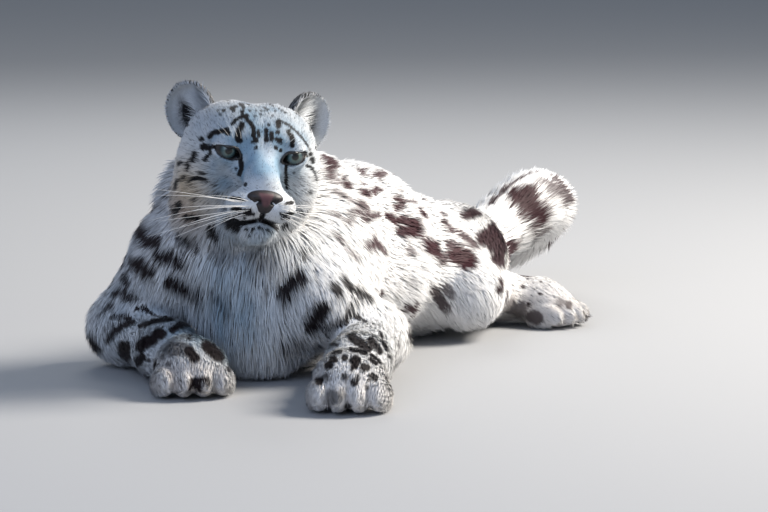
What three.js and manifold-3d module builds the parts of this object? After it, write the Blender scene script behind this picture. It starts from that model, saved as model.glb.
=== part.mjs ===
// A life-size snow leopard lying on its chest, head up and turned to its left, hind end low,
// tail arched behind and laid round its right side. Millimetres, +Z up, nose towards -Y, the animal's left is +X.
// The origin is on the floor under the chest.
import * as THREE from 'three';
import { mergeVertices } from 'three/addons/utils/BufferGeometryUtils.js';
import { edgeTable, triTable } from 'three/addons/objects/MarchingCubes.js';
import Module from 'manifold-3d';

const wasm = await Module();
wasm.setup();

// Driving sizes
const GAP = 0.35; // between neighbouring pieces
const CHEST_WIDE = 112; // half the thorax's width, coat included
const CHEST_DEEP = 126; // half the thorax's depth, coat included
const SKULL_WIDE = 82; // half the braincase's width, coat included
const HEAD_YAW = 40; // how far the face is turned to the left, in degrees
const HEAD_ROLL = 6.5; // how far the left side of the face is lower, in degrees
const EYE_RADIUS = 13.5;
const EYE_APART = 39; // from the middle of the face to each eye's centre
const PAW_WIDE = 48; // half a front paw's width
const TAIL_RADIUS = 53; // at its thickest, coat included
const RUFF_DEPTH = 9; // the same for the locks on the cheeks
const LOCK_DEPTH = 14; // how far the locks of the bib and the belly stand out from the core

// Points and directions
const V = (x, y, z) => new THREE.Vector3(x, y, z);
const deg = THREE.MathUtils.degToRad;
const clamp = THREE.MathUtils.clamp;
const mix = THREE.MathUtils.lerp;

// Fields: each gives the distance from a point to a surface, below zero inside
function ball(centre, radii, yaw = 0, pitch = 0, roll = 0) {
  const turn = new THREE.Matrix4().makeRotationFromEuler(new THREE.Euler(deg(pitch), deg(roll), deg(yaw), 'ZXY'));
  const back = turn.clone().transpose();
  const q = V(0, 0, 0);
  const field = (p) => {
    q.copy(p).sub(centre).applyMatrix4(back).divide(radii);
    const near = q.length();
    const slope = q.divide(radii).length();
    return near < 1e-6 ? -Math.min(radii.x, radii.y, radii.z) : (near * (near - 1)) / slope;
  };
  return field;
}

function limb(a, b, ra, rb) {
  const along = b.clone().sub(a);
  const size = along.lengthSq();
  const q = V(0, 0, 0);
  return (p) => {
    const t = clamp(q.copy(p).sub(a).dot(along) / size, 0, 1);
    return q.copy(p).sub(a).addScaledVector(along, -t).length() - mix(ra, rb, t);
  };
}

function soften(a, b, k) {
  const h = Math.max(k - Math.abs(a - b), 0) / k;
  return Math.min(a, b) - (h * h * k) / 4;
}

const blend = (k, ...fields) => (p) => fields.map((f) => f(p)).reduce((a, b) => soften(a, b, k));
const either = (...fields) => (p) => Math.min(...fields.map((f) => f(p)));

// Solids: a closed mesh of a field, on a grid
function gridLines(low, high, step) {
  const lines = [];
  for (let x = low; x < high + step; x += step) lines.push(x);
  return lines;
}

// Which way a field grows at a point, and the point moved onto its surface
function slopeAt(field, p) {
  const e = 0.5;
  const [px, py, pz] = [V(e, 0, 0), V(0, e, 0), V(0, 0, e)].map((step) => field(p.clone().add(step)) - field(p.clone().sub(step)));
  return V(px, py, pz).divideScalar(2 * e);
}

function settle(field, p) {
  const slope = slopeAt(field, p);
  const off = clamp(field(p) / Math.max(slope.lengthSq(), 0.3), -6, 6);
  return p.clone().addScaledVector(slope, -off);
}

const CORNERS = [[0, 0, 0], [1, 0, 0], [1, 1, 0], [0, 1, 0], [0, 0, 1], [1, 0, 1], [1, 1, 1], [0, 1, 1]];
const EDGES = [[0, 1], [1, 2], [3, 2], [0, 3], [4, 5], [5, 6], [7, 6], [4, 7], [0, 4], [1, 5], [2, 6], [3, 7]];
const LEAST_SHARE = 0.12; // how near a surface point may lie to a grid point, as a share of the edge

function surfaceOf(field, xs, ys, zs, place) {
  const [nx, ny, nz] = [xs.length, ys.length, zs.length];
  const at = (i, j, k) => i + nx * (j + ny * k);
  const point = (i, j, k) => (place ? V(xs[i], ys[j], zs[k]).applyMatrix4(place) : V(xs[i], ys[j], zs[k]));
  const values = new Float64Array(nx * ny * nz);
  for (let k = 0; k < nz; k++)
    for (let j = 0; j < ny; j++)
      for (let i = 0; i < nx; i++) {
        const rim = i === 0 || j === 0 || k === 0 || i === nx - 1 || j === ny - 1 || k === nz - 1;
        values[at(i, j, k)] = rim ? 5 : field(point(i, j, k));
      }
  const places = [];
  const corners = [];
  const found = new Map();
  const vertexOn = (a, b) => {
    const ia = at(...a);
    const ib = at(...b);
    const key = ia < ib ? ia * values.length + ib : ib * values.length + ia;
    if (!found.has(key)) {
      const share = clamp(values[ia] / (values[ia] - values[ib]), LEAST_SHARE, 1 - LEAST_SHARE);
      const start = point(...a).lerp(point(...b), share);
      places.push(start.distanceTo(point(...b)) > 0 ? settle(field, start) : start);
      found.set(key, places.length - 1);
    }
    return found.get(key);
  };
  for (let k = 0; k < nz - 1; k++)
    for (let j = 0; j < ny - 1; j++)
      for (let i = 0; i < nx - 1; i++) {
        const cell = CORNERS.map(([a, b, c]) => [i + a, j + b, k + c]);
        const kind = cell.reduce((sum, c, n) => sum + (values[at(...c)] < 0 ? 1 << n : 0), 0);
        if (!edgeTable[kind]) continue;
        for (let n = kind * 16; triTable[n] !== -1; n++) {
          const [from, to] = EDGES[triTable[n]];
          corners.push(vertexOn(cell[from], cell[to]));
        }
      }
  return solidOf(places, corners);
}

function solidOf(places, corners) {
  const vertProperties = new Float32Array(places.flatMap((p) => [p.x, p.y, p.z]));
  const made = new wasm.Manifold(new wasm.Mesh({ numProp: 3, vertProperties, triVerts: new Uint32Array(corners) }));
  if (made.volume() > 0) return made;
  const turned = corners.map((c, n) => (n % 3 === 1 ? corners[n + 1] : n % 3 === 2 ? corners[n - 1] : c));
  return new wasm.Manifold(new wasm.Mesh({ numProp: 3, vertProperties, triVerts: new Uint32Array(turned) }));
}

function solidFrom(geometry) {
  const bare = geometry.index ? geometry.toNonIndexed() : geometry.clone();
  const open = new THREE.BufferGeometry().setAttribute('position', bare.getAttribute('position'));
  const merged = mergeVertices(open, 1e-3);
  const list = merged.attributes.position;
  const places = Array.from({ length: list.count }, (_, n) => V(0, 0, 0).fromBufferAttribute(list, n));
  return solidOf(places, Array.from(merged.index.array));
}

// Rings of points joined into a closed body
function lofted(rings) {
  const sides = rings[0].length;
  const places = rings.flat();
  const corners = [];
  for (let n = 0; n < rings.length - 1; n++)
    for (let s = 0; s < sides; s++) {
      const [a, b] = [n * sides + s, n * sides + ((s + 1) % sides)];
      corners.push(a, b, a + sides, b, b + sides, a + sides);
    }
  [0, rings.length - 1].forEach((n) => {
    const middle = rings[n].reduce((sum, p) => sum.add(p), V(0, 0, 0)).divideScalar(sides);
    places.push(middle);
    for (let s = 0; s < sides; s++) {
      const [a, b] = [n * sides + s, n * sides + ((s + 1) % sides)];
      corners.push(...(n ? [a, b, places.length - 1] : [b, a, places.length - 1]));
    }
  });
  return solidOf(places, corners);
}

// A half space on the side that normal points away from, as a large block
function behind(place, normal, inset = 0) {
  const size = 3000;
  const turn = new THREE.Quaternion().setFromUnitVectors(V(0, 0, -1), normal.clone().normalize());
  const block = new THREE.BoxGeometry(size, size, size).translate(0, 0, size / 2);
  const at = place.clone().addScaledVector(normal.clone().normalize(), -inset);
  return solidFrom(block.applyQuaternion(turn).translate(at.x, at.y, at.z));
}

const flip = (v) => v.clone().negate();
const largest = (solid) => solid.decompose().sort((a, b) => b.volume() - a.volume())[0];

// Rings round a curve, from one step to another, with a radius that follows the share travelled
function ringsAlong(curve, steps, sides, radiusAt, from = 0, to = steps, endShift = 0) {
  const { tangents, normals, binormals } = curve.computeFrenetFrames(steps, false);
  const rings = [];
  for (let n = from; n <= to; n++) {
    const middle = curve.getPointAt(n / steps).addScaledVector(tangents[n], n === to ? endShift : 0);
    const radius = radiusAt(n / steps);
    rings.push(
      Array.from({ length: sides }, (_, s) => {
        const angle = (s / sides) * 2 * Math.PI;
        return middle.clone()
          .addScaledVector(normals[n], Math.cos(angle) * radius)
          .addScaledVector(binormals[n], Math.sin(angle) * radius);
      }),
    );
  }
  return rings;
}

// Where a field's surface lies on the way from a point inside it
function reach(field, from, way) {
  let far = 0;
  while (field(from.clone().addScaledVector(way, far)) < 0) far += 6;
  let near = far - 6;
  for (let n = 0; n < 12; n++) {
    const half = (near + far) / 2;
    if (field(from.clone().addScaledVector(way, half)) < 0) near = half;
    else far = half;
  }
  return from.clone().addScaledVector(way, far);
}

let seed = 7;
function chance() {
  seed = (seed * 16807) % 2147483647;
  return seed / 2147483647;
}
const vary = (amount) => 1 + (chance() - 0.5) * 2 * amount;

// A lock of coat: flat, tapered and bent, rooted well under the surface, lying along it and hugging its roundness
const LOCK_SHAPE = [
  { along: -0.22, wide: 0.62, lift: -0.75 },
  { along: 0.16, wide: 1, lift: 0.12 },
  { along: 0.62, wide: 0.74, lift: 0.62 },
];
function lock(guide, width, depth) {
  const rings = LOCK_SHAPE.map(({ along, wide, lift }) => {
    const { point, out, across, round } = guide(along);
    const middle = point.clone().addScaledVector(out, lift * depth);
    const half = (width / 2) * wide;
    const thick = depth * 0.42 * wide;
    const droop = (half * half) / (2 * round);
    const edge = middle.clone().addScaledVector(out, -droop);
    return [
      edge.clone().addScaledVector(across, half),
      middle.clone().addScaledVector(out, thick),
      edge.clone().addScaledVector(across, -half),
      middle.clone().addScaledVector(out, -thick - droop * 0.5),
    ];
  });
  const sides = 4;
  const places = rings.flat();
  const corners = [0, 2, 1, 0, 3, 2];
  for (let n = 0; n < rings.length - 1; n++)
    for (let s = 0; s < sides; s++) {
      const [a, b] = [n * sides + s, n * sides + ((s + 1) % sides)];
      corners.push(a, b, a + sides, b, b + sides, a + sides);
    }
  const tip = guide(1);
  places.push(tip.point.clone().addScaledVector(tip.out, 0.95 * depth));
  const last = (rings.length - 1) * sides;
  for (let s = 0; s < sides; s++) corners.push(last + s, last + ((s + 1) % sides), places.length - 1);
  return solidOf(places, corners);
}

// A lock on a field's surface: where the way from a middle point meets it, lying as near to the aim as the surface lets it
function lockOn(field, middle, way, aim, length, width, depth, round = 90) {
  const place = reach(field, middle, way.clone().normalize());
  const out = slopeAt(field, place).normalize();
  const lie = aim.clone().addScaledVector(out, -aim.dot(out)).normalize();
  const across = out.clone().cross(lie).normalize();
  const long = length * vary(0.15);
  const sway = (chance() - 0.5) * 0.3;
  const guide = (along) => {
    const point = place.clone().addScaledVector(lie, along * long).addScaledVector(across, sway * long * along * along);
    return { point, out, across, round };
  };
  return lock(guide, width * vary(0.12), depth * vary(0.12));
}
const joined = (solids) => wasm.Manifold.union(solids);

// Head, in its own frame: nose towards -Y, left +X
const HEAD_AT = V(22, -88, 262);
const headPlace = new THREE.Matrix4()
  .makeTranslation(HEAD_AT.x, HEAD_AT.y, HEAD_AT.z)
  .multiply(new THREE.Matrix4().makeRotationZ(deg(HEAD_YAW)))
  .multiply(new THREE.Matrix4().makeRotationY(deg(HEAD_ROLL)));
const headInverse = headPlace.clone().invert();
const inHead = (field) => {
  const q = V(0, 0, 0);
  return (p) => field(q.copy(p).applyMatrix4(headInverse));
};
const bothSides = (build) => either(build(1), build(-1));
const EYE = V(EYE_APART, -56, 13);

function headShape() {
  const cranium = ball(V(0, 14, 0), V(SKULL_WIDE, 78, 62));
  const crown = bothSides((s) => ball(V(s * 26, -2, 18), V(44, 58, 40)));
  const brow = ball(V(0, -36, 26), V(52, 36, 32));
  const cheeks = bothSides((s) => ball(V(s * 42, 0, -28), V(43, 52, 46)));
  const ruff = bothSides((s) => ball(V(s * 45, 26, -52), V(42, 38, 46)));
  const bridge = limb(V(0, -46, 2), V(0, -94, -20), 27, 21);
  const pads = bothSides((s) => ball(V(s * 16, -94, -44), V(23, 26, 19)));
  const chin = ball(V(0, -80, -73), V(22, 24, 19));
  const jaw = limb(V(0, -66, -62), V(0, 5, -62), 26, 44);
  const lids = bothSides((s) => ball(V(s * EYE.x, EYE.y + 1, EYE.z), V(17, 15.5, 15.5)));
  const muzzle = blend(8, blend(16, bridge, pads), chin);
  return blend(8, blend(20, blend(22, cranium, crown, brow, cheeks, ruff, jaw), muzzle), lids);
}
const fullHead = headShape();
const ruffDepth = (p) => RUFF_DEPTH * clamp(1.5 - Math.hypot((Math.abs(p.x) - 62) / 46, (p.y - 20) / 50, (p.z + 62) / 48), 0, 1);
const head = inHead((p) => fullHead(p) + ruffDepth(p));

// Trunk and neck
const torso = blend(
  34,
  ball(V(14, -56, 103), V(92, 76, 107)),
  ball(V(0, 64, 132), V(CHEST_WIDE, 125, CHEST_DEEP + 10)),
  ball(V(2, 2, 66), V(78, 92, 71)),
  ball(V(2, 188, 118), V(CHEST_WIDE, 130, 124)),
  ball(V(4, 305, 92), V(106, 115, 104)),
  ball(V(4, 410, 78), V(86, 95, 82)),
  ball(V(16, 485, 66), V(68, 66, 56)),
);
// How much thinner the core is than the coat where locks lie: on the bib and along both sides of the belly
const bibAt = V(8, -132, 110);
const lockDepth = (p) => {
  const bib = clamp(1.25 - Math.hypot((p.x - bibAt.x) / 70, (p.y - bibAt.y) / 60, (p.z - bibAt.z) / 70), 0, 1);
  const belly = clamp(1.4 - Math.hypot((p.y - 200) / 120, (p.z - 34) / 40), 0, 1) * clamp((Math.abs(p.x) - 60) / 40, 0, 1);
  return LOCK_DEPTH * clamp(bib * 1.6 + belly * 1.6, 0, 1);
};
const neck = blend(30, limb(V(-14, 30, 160), V(-8, -34, 212), 92, 76), ball(V(6, -66, 160), V(80, 62, 70)), ball(V(-66, -18, 214), V(64, 62, 58)));
const shoulders = either(
  ball(V(-84, -24, 148), V(64, 86, 84), 0, 0, 12),
  ball(V(72, 10, 132), V(50, 84, 84), 0, 0, -10),
);
const fullTrunk = blend(30, torso, shoulders);
const trunk = (p) => fullTrunk(p) + lockDepth(p);

// Legs: from the shoulder or hip to the toes
const JOINTS = {
  right_fore: { top: V(-94, -50, 124), mid: V(-166, -52, 48), low: V(-58, -142, 38), tip: V(0, -188, 32) },
  left_fore: { top: V(84, -46, 100), mid: V(120, 30, 46), low: V(190, -140, 38), tip: V(210, -196, 32) },
  right_hind: { top: V(-40, 420, 84), mid: V(-96, 300, 66), low: V(-122, 474, 36), tip: V(-158, 352, 24) },
  left_hind: { top: V(42, 415, 92), mid: V(106, 312, 62), low: V(78, 462, 38), tip: V(136, 480, 26) },
};
const THICK = {
  right_fore: { top: 66, mid: 48, elbow: 43, wrist: 37 },
  left_fore: { top: 56, mid: 46, elbow: 42, wrist: 38 },
  right_hind: { top: 78, mid: 50, elbow: 42, wrist: 30 },
  left_hind: { top: 70, mid: 48, elbow: 44, wrist: 32 },
};
const LEGS = Object.keys(JOINTS);
const upper = {};
const lower = {};
for (const leg of LEGS) {
  const { top, mid, low } = JOINTS[leg];
  upper[leg] = limb(top, mid, THICK[leg].top, THICK[leg].mid);
  lower[leg] = limb(mid, low, THICK[leg].elbow, THICK[leg].wrist);
}

// A paw: the back of the foot as a field, and four toes side by side, pointing along yaw (0 is -Y, 90 is +X)
const pawTurn = (yaw) => new THREE.Matrix4().makeRotationZ(deg(yaw));
function pawBack({ yaw, wide, high }, tip) {
  const put = V(0, 6, high * 0.9).applyMatrix4(pawTurn(yaw)).add(V(tip.x, tip.y, 0));
  return ball(put, V(wide * 0.86, 44, high * 0.94), yaw);
}
function toes({ yaw, wide, high }, tip, sides) {
  return [-1.5, -0.5, 0.5, 1.5].map((n) => {
    const forward = -27 - 7 * (1.5 - Math.abs(n));
    const toe = new THREE.SphereGeometry(1, ...sides).rotateX(deg(78)).scale(wide * 0.3, 27, high * 0.54);
    toe.rotateZ(deg(-n * 6)).translate(n * wide * 0.48, forward, high * 0.5).applyMatrix4(pawTurn(yaw));
    return solidFrom(toe.translate(tip.x, tip.y, 0));
  });
}
const PAWS = {
  right_fore: { yaw: 34, wide: PAW_WIDE, high: 34 },
  left_fore: { yaw: 24, wide: PAW_WIDE, high: 36 },
  right_hind: { yaw: -14, wide: 40, high: 28 },
  left_hind: { yaw: 74, wide: 40, high: 30 },
};
const paw = {};
for (const leg of LEGS) {
  const { low, tip } = JOINTS[leg];
  const root = limb(low, V(tip.x, tip.y, 32).lerp(low, 0.15), THICK[leg].wrist - 2, 30);
  paw[leg] = blend(14, root, pawBack(PAWS[leg], tip));
}

// Tail: up from the rump, over an arch, down to the floor and round the right side
const tailCurve = new THREE.CatmullRomCurve3([
  V(22, 470, 74), V(32, 552, 108), V(42, 640, 136), V(18, 716, 122), V(-48, 776, 80),
  V(-124, 790, 54), V(-196, 752, 52), V(-246, 672, 52), V(-266, 580, 52), V(-272, 490, 50), V(-264, 420, 46), V(-252, 372, 44),
]);
const tailRadius = (share) => {
  const swell = mix(0.84, 1, clamp(share / 0.25, 0, 1));
  return TAIL_RADIUS * swell * Math.sqrt(clamp((1.01 - share) / 0.07, 0, 1)) * mix(1, 0.92, share);
};

const SHADES = {
  coat: new THREE.MeshStandardMaterial({ color: 0xd9dce0, roughness: 0.95, metalness: 0 }),
  eye: new THREE.MeshStandardMaterial({ color: 0x6f8782, roughness: 0.15, metalness: 0 }),
  leather: new THREE.MeshStandardMaterial({ color: 0x7a4a48, roughness: 0.6, metalness: 0 }),
};

const model = new THREE.Group();
const floor = behind(V(0, 0, 0), V(0, 0, -1)); // all that is above the floor
function add(name, solid, shade = SHADES.coat) {
  const kept = largest(solid);
  if (!kept) throw new Error(`${name} is empty`);
  const { vertProperties, triVerts, numProp } = kept.getMesh();
  const places = new Float32Array((vertProperties.length / numProp) * 3);
  for (let n = 0; n < places.length / 3; n++) places.set(vertProperties.subarray(n * numProp, n * numProp + 3), n * 3);
  const geometry = new THREE.BufferGeometry().setAttribute('position', new THREE.BufferAttribute(places, 3));
  geometry.setIndex(new THREE.BufferAttribute(triVerts, 1));
  const mesh = new THREE.Mesh(geometry, shade);
  mesh.name = name;
  model.add(mesh);
}

// A mesh moved outwards along its own normals, for what must stay clear of it
function puffed(solid, by = GAP * 1.4) {
  const { vertProperties, triVerts } = solid.getMesh();
  const geometry = new THREE.BufferGeometry();
  geometry.setAttribute('position', new THREE.BufferAttribute(vertProperties.slice(), 3));
  geometry.setIndex(new THREE.BufferAttribute(triVerts, 1));
  geometry.computeVertexNormals();
  const { position, normal } = geometry.attributes;
  const places = Array.from({ length: position.count }, (_, n) =>
    V(0, 0, 0).fromBufferAttribute(position, n).addScaledVector(V(0, 0, 0).fromBufferAttribute(normal, n), by),
  );
  return solidOf(places, Array.from(triVerts));
}

function box(low, high, step, place) {
  return [gridLines(low.x, high.x, step), gridLines(low.y, high.y, step), gridLines(low.z, high.z, step), place];
}
const around = (points, reach, step) => {
  const bounds = new THREE.Box3().setFromPoints(points).expandByScalar(reach);
  return box(bounds.min.setZ(Math.max(bounds.min.z, -step)), bounds.max, step);
};

// Where the pieces part: a plane's normal points away from the piece named first
const cuts = {
  nape: { at: V(0, -30, -100).applyMatrix4(headPlace), normal: V(0, 0.76, -0.65).transformDirection(headPlace) },
  throat: { at: V(0, -60, -104).applyMatrix4(headPlace), normal: V(0, 0.15, -0.99).transformDirection(headPlace) },
  neck: { at: V(16, -35, 182), normal: V(0, 0.51, -0.86) },
};
const headBlock = (grow) => {
  const nape = behind(cuts.nape.at, cuts.nape.normal, -grow);
  return nape.intersect(behind(cuts.throat.at, cuts.throat.normal, -grow));
};
const side = (cut, way, solid) => solid.intersect(behind(cut.at, way > 0 ? cut.normal : flip(cut.normal), GAP / 2));
const LEG_CUTS = {
  right_fore: { at: V(-84, -40, 100), normal: V(-0.97, -0.2, 0.1), span: [-170, 70] },
  left_fore: { at: V(92, -20, 60), normal: V(0.93, -0.06, -0.36), span: [-140, 100] },
  right_hind: { at: V(-66, 380, 80), normal: V(-0.93, -0.3, -0.2), span: [240, 520] },
  left_hind: { at: V(76, 380, 80), normal: V(0.93, -0.3, -0.2), span: [250, 520] },
};
function legBlock(leg, grow) {
  const { at, normal, span } = LEG_CUTS[leg];
  const [from, to] = span;
  const slab = new THREE.BoxGeometry(600, to - from + 2 * grow, 500).translate(0, (from + to) / 2, 100);
  return solidFrom(slab).intersect(behind(at, flip(normal), -grow));
}

// Trunk with its four shoulders and haunches
const trunkField = either(blend(30, trunk, neck), ...LEGS.map((leg) => blend(leg.endsWith('fore') ? 30 : 40, trunk, upper[leg])));
const trunkWhole = surfaceOf(trunkField, ...box(V(-230, -170, -30), V(230, 600, 310), 38)).intersect(floor);
const frontField = either(blend(26, head, neck), blend(30, trunk, neck), blend(30, trunk, upper.left_fore));
const headWhole = surfaceOf(frontField, ...box(V(-118, -135, -126), V(118, 108, 90), 13.4, headPlace));
const neckWhole = surfaceOf(frontField, ...box(V(-150, -170, 60), V(150, 160, 340), 28));
const headAlone = surfaceOf(inHead(fullHead), ...box(V(-118, -135, -126), V(118, 108, 90), 13, headPlace));
const headClear = puffed(headAlone, 1);
const trunkClear = puffed(trunkWhole);


// The lower lengths of the legs: a tapered shank, and a paw that shares its wrist
const lowerWhole = {};
const pawWhole = {};
for (const leg of LEGS) {
  const { mid, low, tip } = JOINTS[leg];
  const { elbow, wrist } = THICK[leg];
  const past = low.clone().add(low.clone().sub(mid).normalize().multiplyScalar(54));
  const shankRadius = (t) => mix(elbow, wrist, Math.min(t * 1.25, 1)) * 1.02;
  lowerWhole[leg] = lofted(ringsAlong(new THREE.LineCurve3(mid, past), 3, 10, shankRadius)).intersect(floor);
  const shared = blend(16, lower[leg], paw[leg]);
  const pawRound = surfaceOf(shared, ...around([V(tip.x, tip.y, 30), low], 76, leg.endsWith('fore') ? 22 : 25));
  const sides = leg.endsWith('fore') ? [7, 5] : [6, 4];
  pawWhole[leg] = joined([pawRound, ...toes(PAWS[leg], tip, sides)]).intersect(floor);
}

// Locks of the coat
const toWorld = (x, y, z) => V(x, y, z).applyMatrix4(headPlace);
const turned = (x, y, z) => V(x, y, z).transformDirection(headPlace);
const ruffLocks = [];
for (const s of [1, -1])
  for (let row = 0; row < 2; row++)
    for (let n = 0; n < 5; n++) {
      const angle = deg(4 + 19 * n + 9 * row);
      const way = turned(s * Math.cos(angle), row ? 0.16 : -0.34, -Math.sin(angle));
      const aim = turned(s * 0.6, 0.5, -0.62);
      ruffLocks.push(lockOn(frontField, toWorld(s * 24, 4, -30), way, aim, 50, 32, RUFF_DEPTH));
    }
const bibLocks = [];
for (let row = 0; row < 5; row++)
  for (let n = 0; n < 4; n++) {
    const angle = deg(-48 + 30 * n + (row % 2 ? 14 : 0));
    const way = V(Math.sin(angle), -Math.cos(angle), 0);
    bibLocks.push(lockOn(trunkField, V(8, -60, 172 - 27 * row), way, V(0, 0, -1), 62, 46, LOCK_DEPTH));
  }
const bellyLocks = [];
for (const s of [1, -1])
  for (let row = 0; row < (s > 0 ? 2 : 1); row++)
    for (let n = 0; n < (s > 0 ? 5 : 4); n++) {
      const middle = V(2, 122 + 36 * n + 18 * row, 62);
      const way = V(s, 0, row ? -0.42 : -0.1);
      bellyLocks.push(lockOn(trunkField, middle, way, V(s * 0.1, 0.5, -0.85), 56, 44, LOCK_DEPTH));
    }
let trunkLocks = joined([...bibLocks, ...bellyLocks]).intersect(floor);
for (const leg of LEGS) trunkLocks = trunkLocks.subtract(puffed(lowerWhole[leg])).subtract(puffed(pawWhole[leg], 0.8));
const ruff = joined(ruffLocks);

let torsoSolid = side(cuts.neck, -1, joined([trunkWhole, trunkLocks])).subtract(headBlock(GAP / 2));
let neckSolid = side(cuts.neck, 1, joined([neckWhole, ruff, trunkLocks])).subtract(headBlock(GAP / 2));
for (const leg of LEGS) {
  const block = legBlock(leg, GAP / 2);
  torsoSolid = torsoSolid.subtract(block);
  neckSolid = neckSolid.subtract(block);
}
add('torso', torsoSolid);
add('neck', neckSolid);

// Eyes and ears
const eyeball = (s, grow) => {
  const radius = EYE_RADIUS + grow;
  return solidFrom(new THREE.IcosahedronGeometry(radius, 2).translate(s * EYE.x, EYE.y, EYE.z).applyMatrix4(headPlace));
};
const almond = (s) => {
  const slit = new THREE.SphereGeometry(1, 20, 12).scale(EYE_RADIUS * 0.86, 14, EYE_RADIUS * 0.44);
  slit.rotateY(deg(-s * 12)).rotateZ(deg(s * 14)).translate(s * (EYE.x + 1), EYE.y - 13, EYE.z + 0.5);
  return solidFrom(slit.applyMatrix4(headPlace));
};
const EAR_SIDES = [12, 6];
const earShape = (s) => {
  const pose = new THREE.Matrix4()
    .makeTranslation(s * 69, 28, 47)
    .multiply(new THREE.Matrix4().makeRotationZ(deg(s * 24)))
    .multiply(new THREE.Matrix4().makeRotationY(deg(s * 22)))
    .multiply(new THREE.Matrix4().makeRotationX(deg(-8)));
  const shell = solidFrom(new THREE.SphereGeometry(1, ...EAR_SIDES).scale(30, 18, 36).applyMatrix4(pose).applyMatrix4(headPlace));
  const cup = new THREE.SphereGeometry(1, ...EAR_SIDES).scale(24, 20, 30).translate(0, -12, -1);
  return shell.subtract(solidFrom(cup.applyMatrix4(pose).applyMatrix4(headPlace)));
};
const noseField = inHead(blend(6, ball(V(0, -112, -33), V(21, 8, 9)), ball(V(0, -112, -40), V(11, 8, 11))));
const nostril = (s) => {
  const hole = new THREE.SphereGeometry(1, 10, 6).scale(4.4, 6, 2.8).rotateY(deg(s * 28)).translate(s * 9, -119, -37);
  return solidFrom(hole.applyMatrix4(headPlace));
};
const noseWhole = surfaceOf(noseField, ...box(V(-30, -126, -60), V(30, -96, -16), 6.4, headPlace));

// Mouth line, with a lip above and below it
const MOUTH = [[-36, -78], [-30, -72], [-20, -66], [-9, -62], [0, -60], [9, -62], [20, -66], [30, -72], [36, -78]];
const mouthAlong = (lower, sunk) =>
  new THREE.CatmullRomCurve3(
    MOUTH.map(([x, z]) => {
      const way = turned(x * 0.028, -1, 0);
      return reach(head, toWorld(x * 0.4, -52, z + lower), way).addScaledVector(way, -sunk);
    }),
  );
const strand = (curve, radius) => lofted(ringsAlong(curve, 12, 5, (t) => radius * (0.35 + Math.sin(Math.PI * t) * 0.65)));
const lips = joined([strand(mouthAlong(3, 1.6), 3), strand(mouthAlong(-3.4, 1.4), 3.4)]);
const mouthLine = strand(mouthAlong(0, 0.4), 2.2);

const headCore = joined([headWhole, ruff, lips]).subtract(mouthLine);
let headSolid = headCore.intersect(headBlock(-GAP / 2)).subtract(puffed(noseWhole));

[1, -1].forEach((s) => {
  headSolid = headSolid.subtract(eyeball(s, GAP)).subtract(almond(s));
});
add('head', headSolid);
[1, -1].forEach((s) => {
  const name = s > 0 ? 'left' : 'right';
  add(`eye_${name}`, eyeball(s, 0), SHADES.eye);
  add(`ear_${name}`, earShape(s).subtract(puffed(headWhole)));
});
add('nose', noseWhole.subtract(nostril(1)).subtract(nostril(-1)), SHADES.leather);

// Legs
for (const leg of LEGS) {
  const { top, mid, low, tip } = JOINTS[leg];
  const fore = leg.endsWith('fore');
  const upperField = fore ? either(blend(30, trunk, upper[leg]), blend(30, trunk, neck)) : blend(40, trunk, upper[leg]);
  const upperWhole = surfaceOf(upperField, ...around([top, mid], 120, 31)).intersect(floor);
  const upperClear = puffed(upperWhole);
  add(`${leg}_upper`, upperWhole.intersect(legBlock(leg, -GAP / 2)).subtract(headClear));
  const bend = low.clone().sub(mid).normalize().add(tip.clone().sub(low).normalize());
  const wrist = { at: low.clone().lerp(tip, leg.endsWith('fore') ? 0.15 : 0.04), normal: bend };
  add(`${leg}_lower`, side(wrist, 1, lowerWhole[leg]).subtract(trunkClear).subtract(upperClear));
  add(`${leg}_paw`, side(wrist, -1, pawWhole[leg]).subtract(trunkClear).subtract(upperClear));
}

// Tail in five lengths, each with the locks that are rooted in it
const TAIL_STEPS = 25;
const TAIL_SIDES = 8;
const TAIL_PARTS = 5;
const TAIL_CORE = 0.74; // the core's radius as a share of the coat's
const TAIL_ROWS = [0.02, 0.43]; // where each length's two rows of locks are rooted, as shares of the length
const TAIL_AROUND = 4;
const TAIL_LOCK = 0.54; // a lock's length as a share of a length's, so that its tip stays with its root
const TAIL_DEPTH = 14;
const frames = tailCurve.computeFrenetFrames(240, false);
const tailLocks = [];
function tailLock(share, angle) {
  const long = (TAIL_LOCK * vary(0.05)) / TAIL_PARTS;
  const twist = (chance() - 0.5) * 0.4;
  const guide = (along) => {
    const at = clamp(share + along * long, 0, 1);
    const n = Math.round(at * 240);
    const turn = angle + twist * along * along;
    const [cos, sin] = [Math.cos(turn), Math.sin(turn)];
    const out = frames.normals[n].clone().multiplyScalar(cos).addScaledVector(frames.binormals[n], sin);
    const across = frames.normals[n].clone().multiplyScalar(-sin).addScaledVector(frames.binormals[n], cos);
    const round = tailRadius(at) * TAIL_CORE;
    return { point: tailCurve.getPointAt(at).addScaledVector(out, round), out, across, round };
  };
  const size = tailRadius(share) / TAIL_RADIUS;
  return lock(guide, 60 * size, TAIL_DEPTH * size);
}
for (let part = 0; part < TAIL_PARTS; part++)
  TAIL_ROWS.forEach((row, n) => {
    for (let k = 0; k < TAIL_AROUND; k++) {
      const angle = ((k + n / 2 + part * 0.3) / TAIL_AROUND) * 2 * Math.PI + (chance() - 0.5) * 0.25;
      tailLocks.push({ part, shape: tailLock((part + row) / TAIL_PARTS, angle) });
    }
  });
const coreRadius = (share) => tailRadius(share) * TAIL_CORE;
const tailPlane = (n, way, inset) => {
  const along = tailCurve.getTangentAt(n / TAIL_STEPS);
  return behind(tailCurve.getPointAt(n / TAIL_STEPS), way > 0 ? along : flip(along), inset);
};
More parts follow.
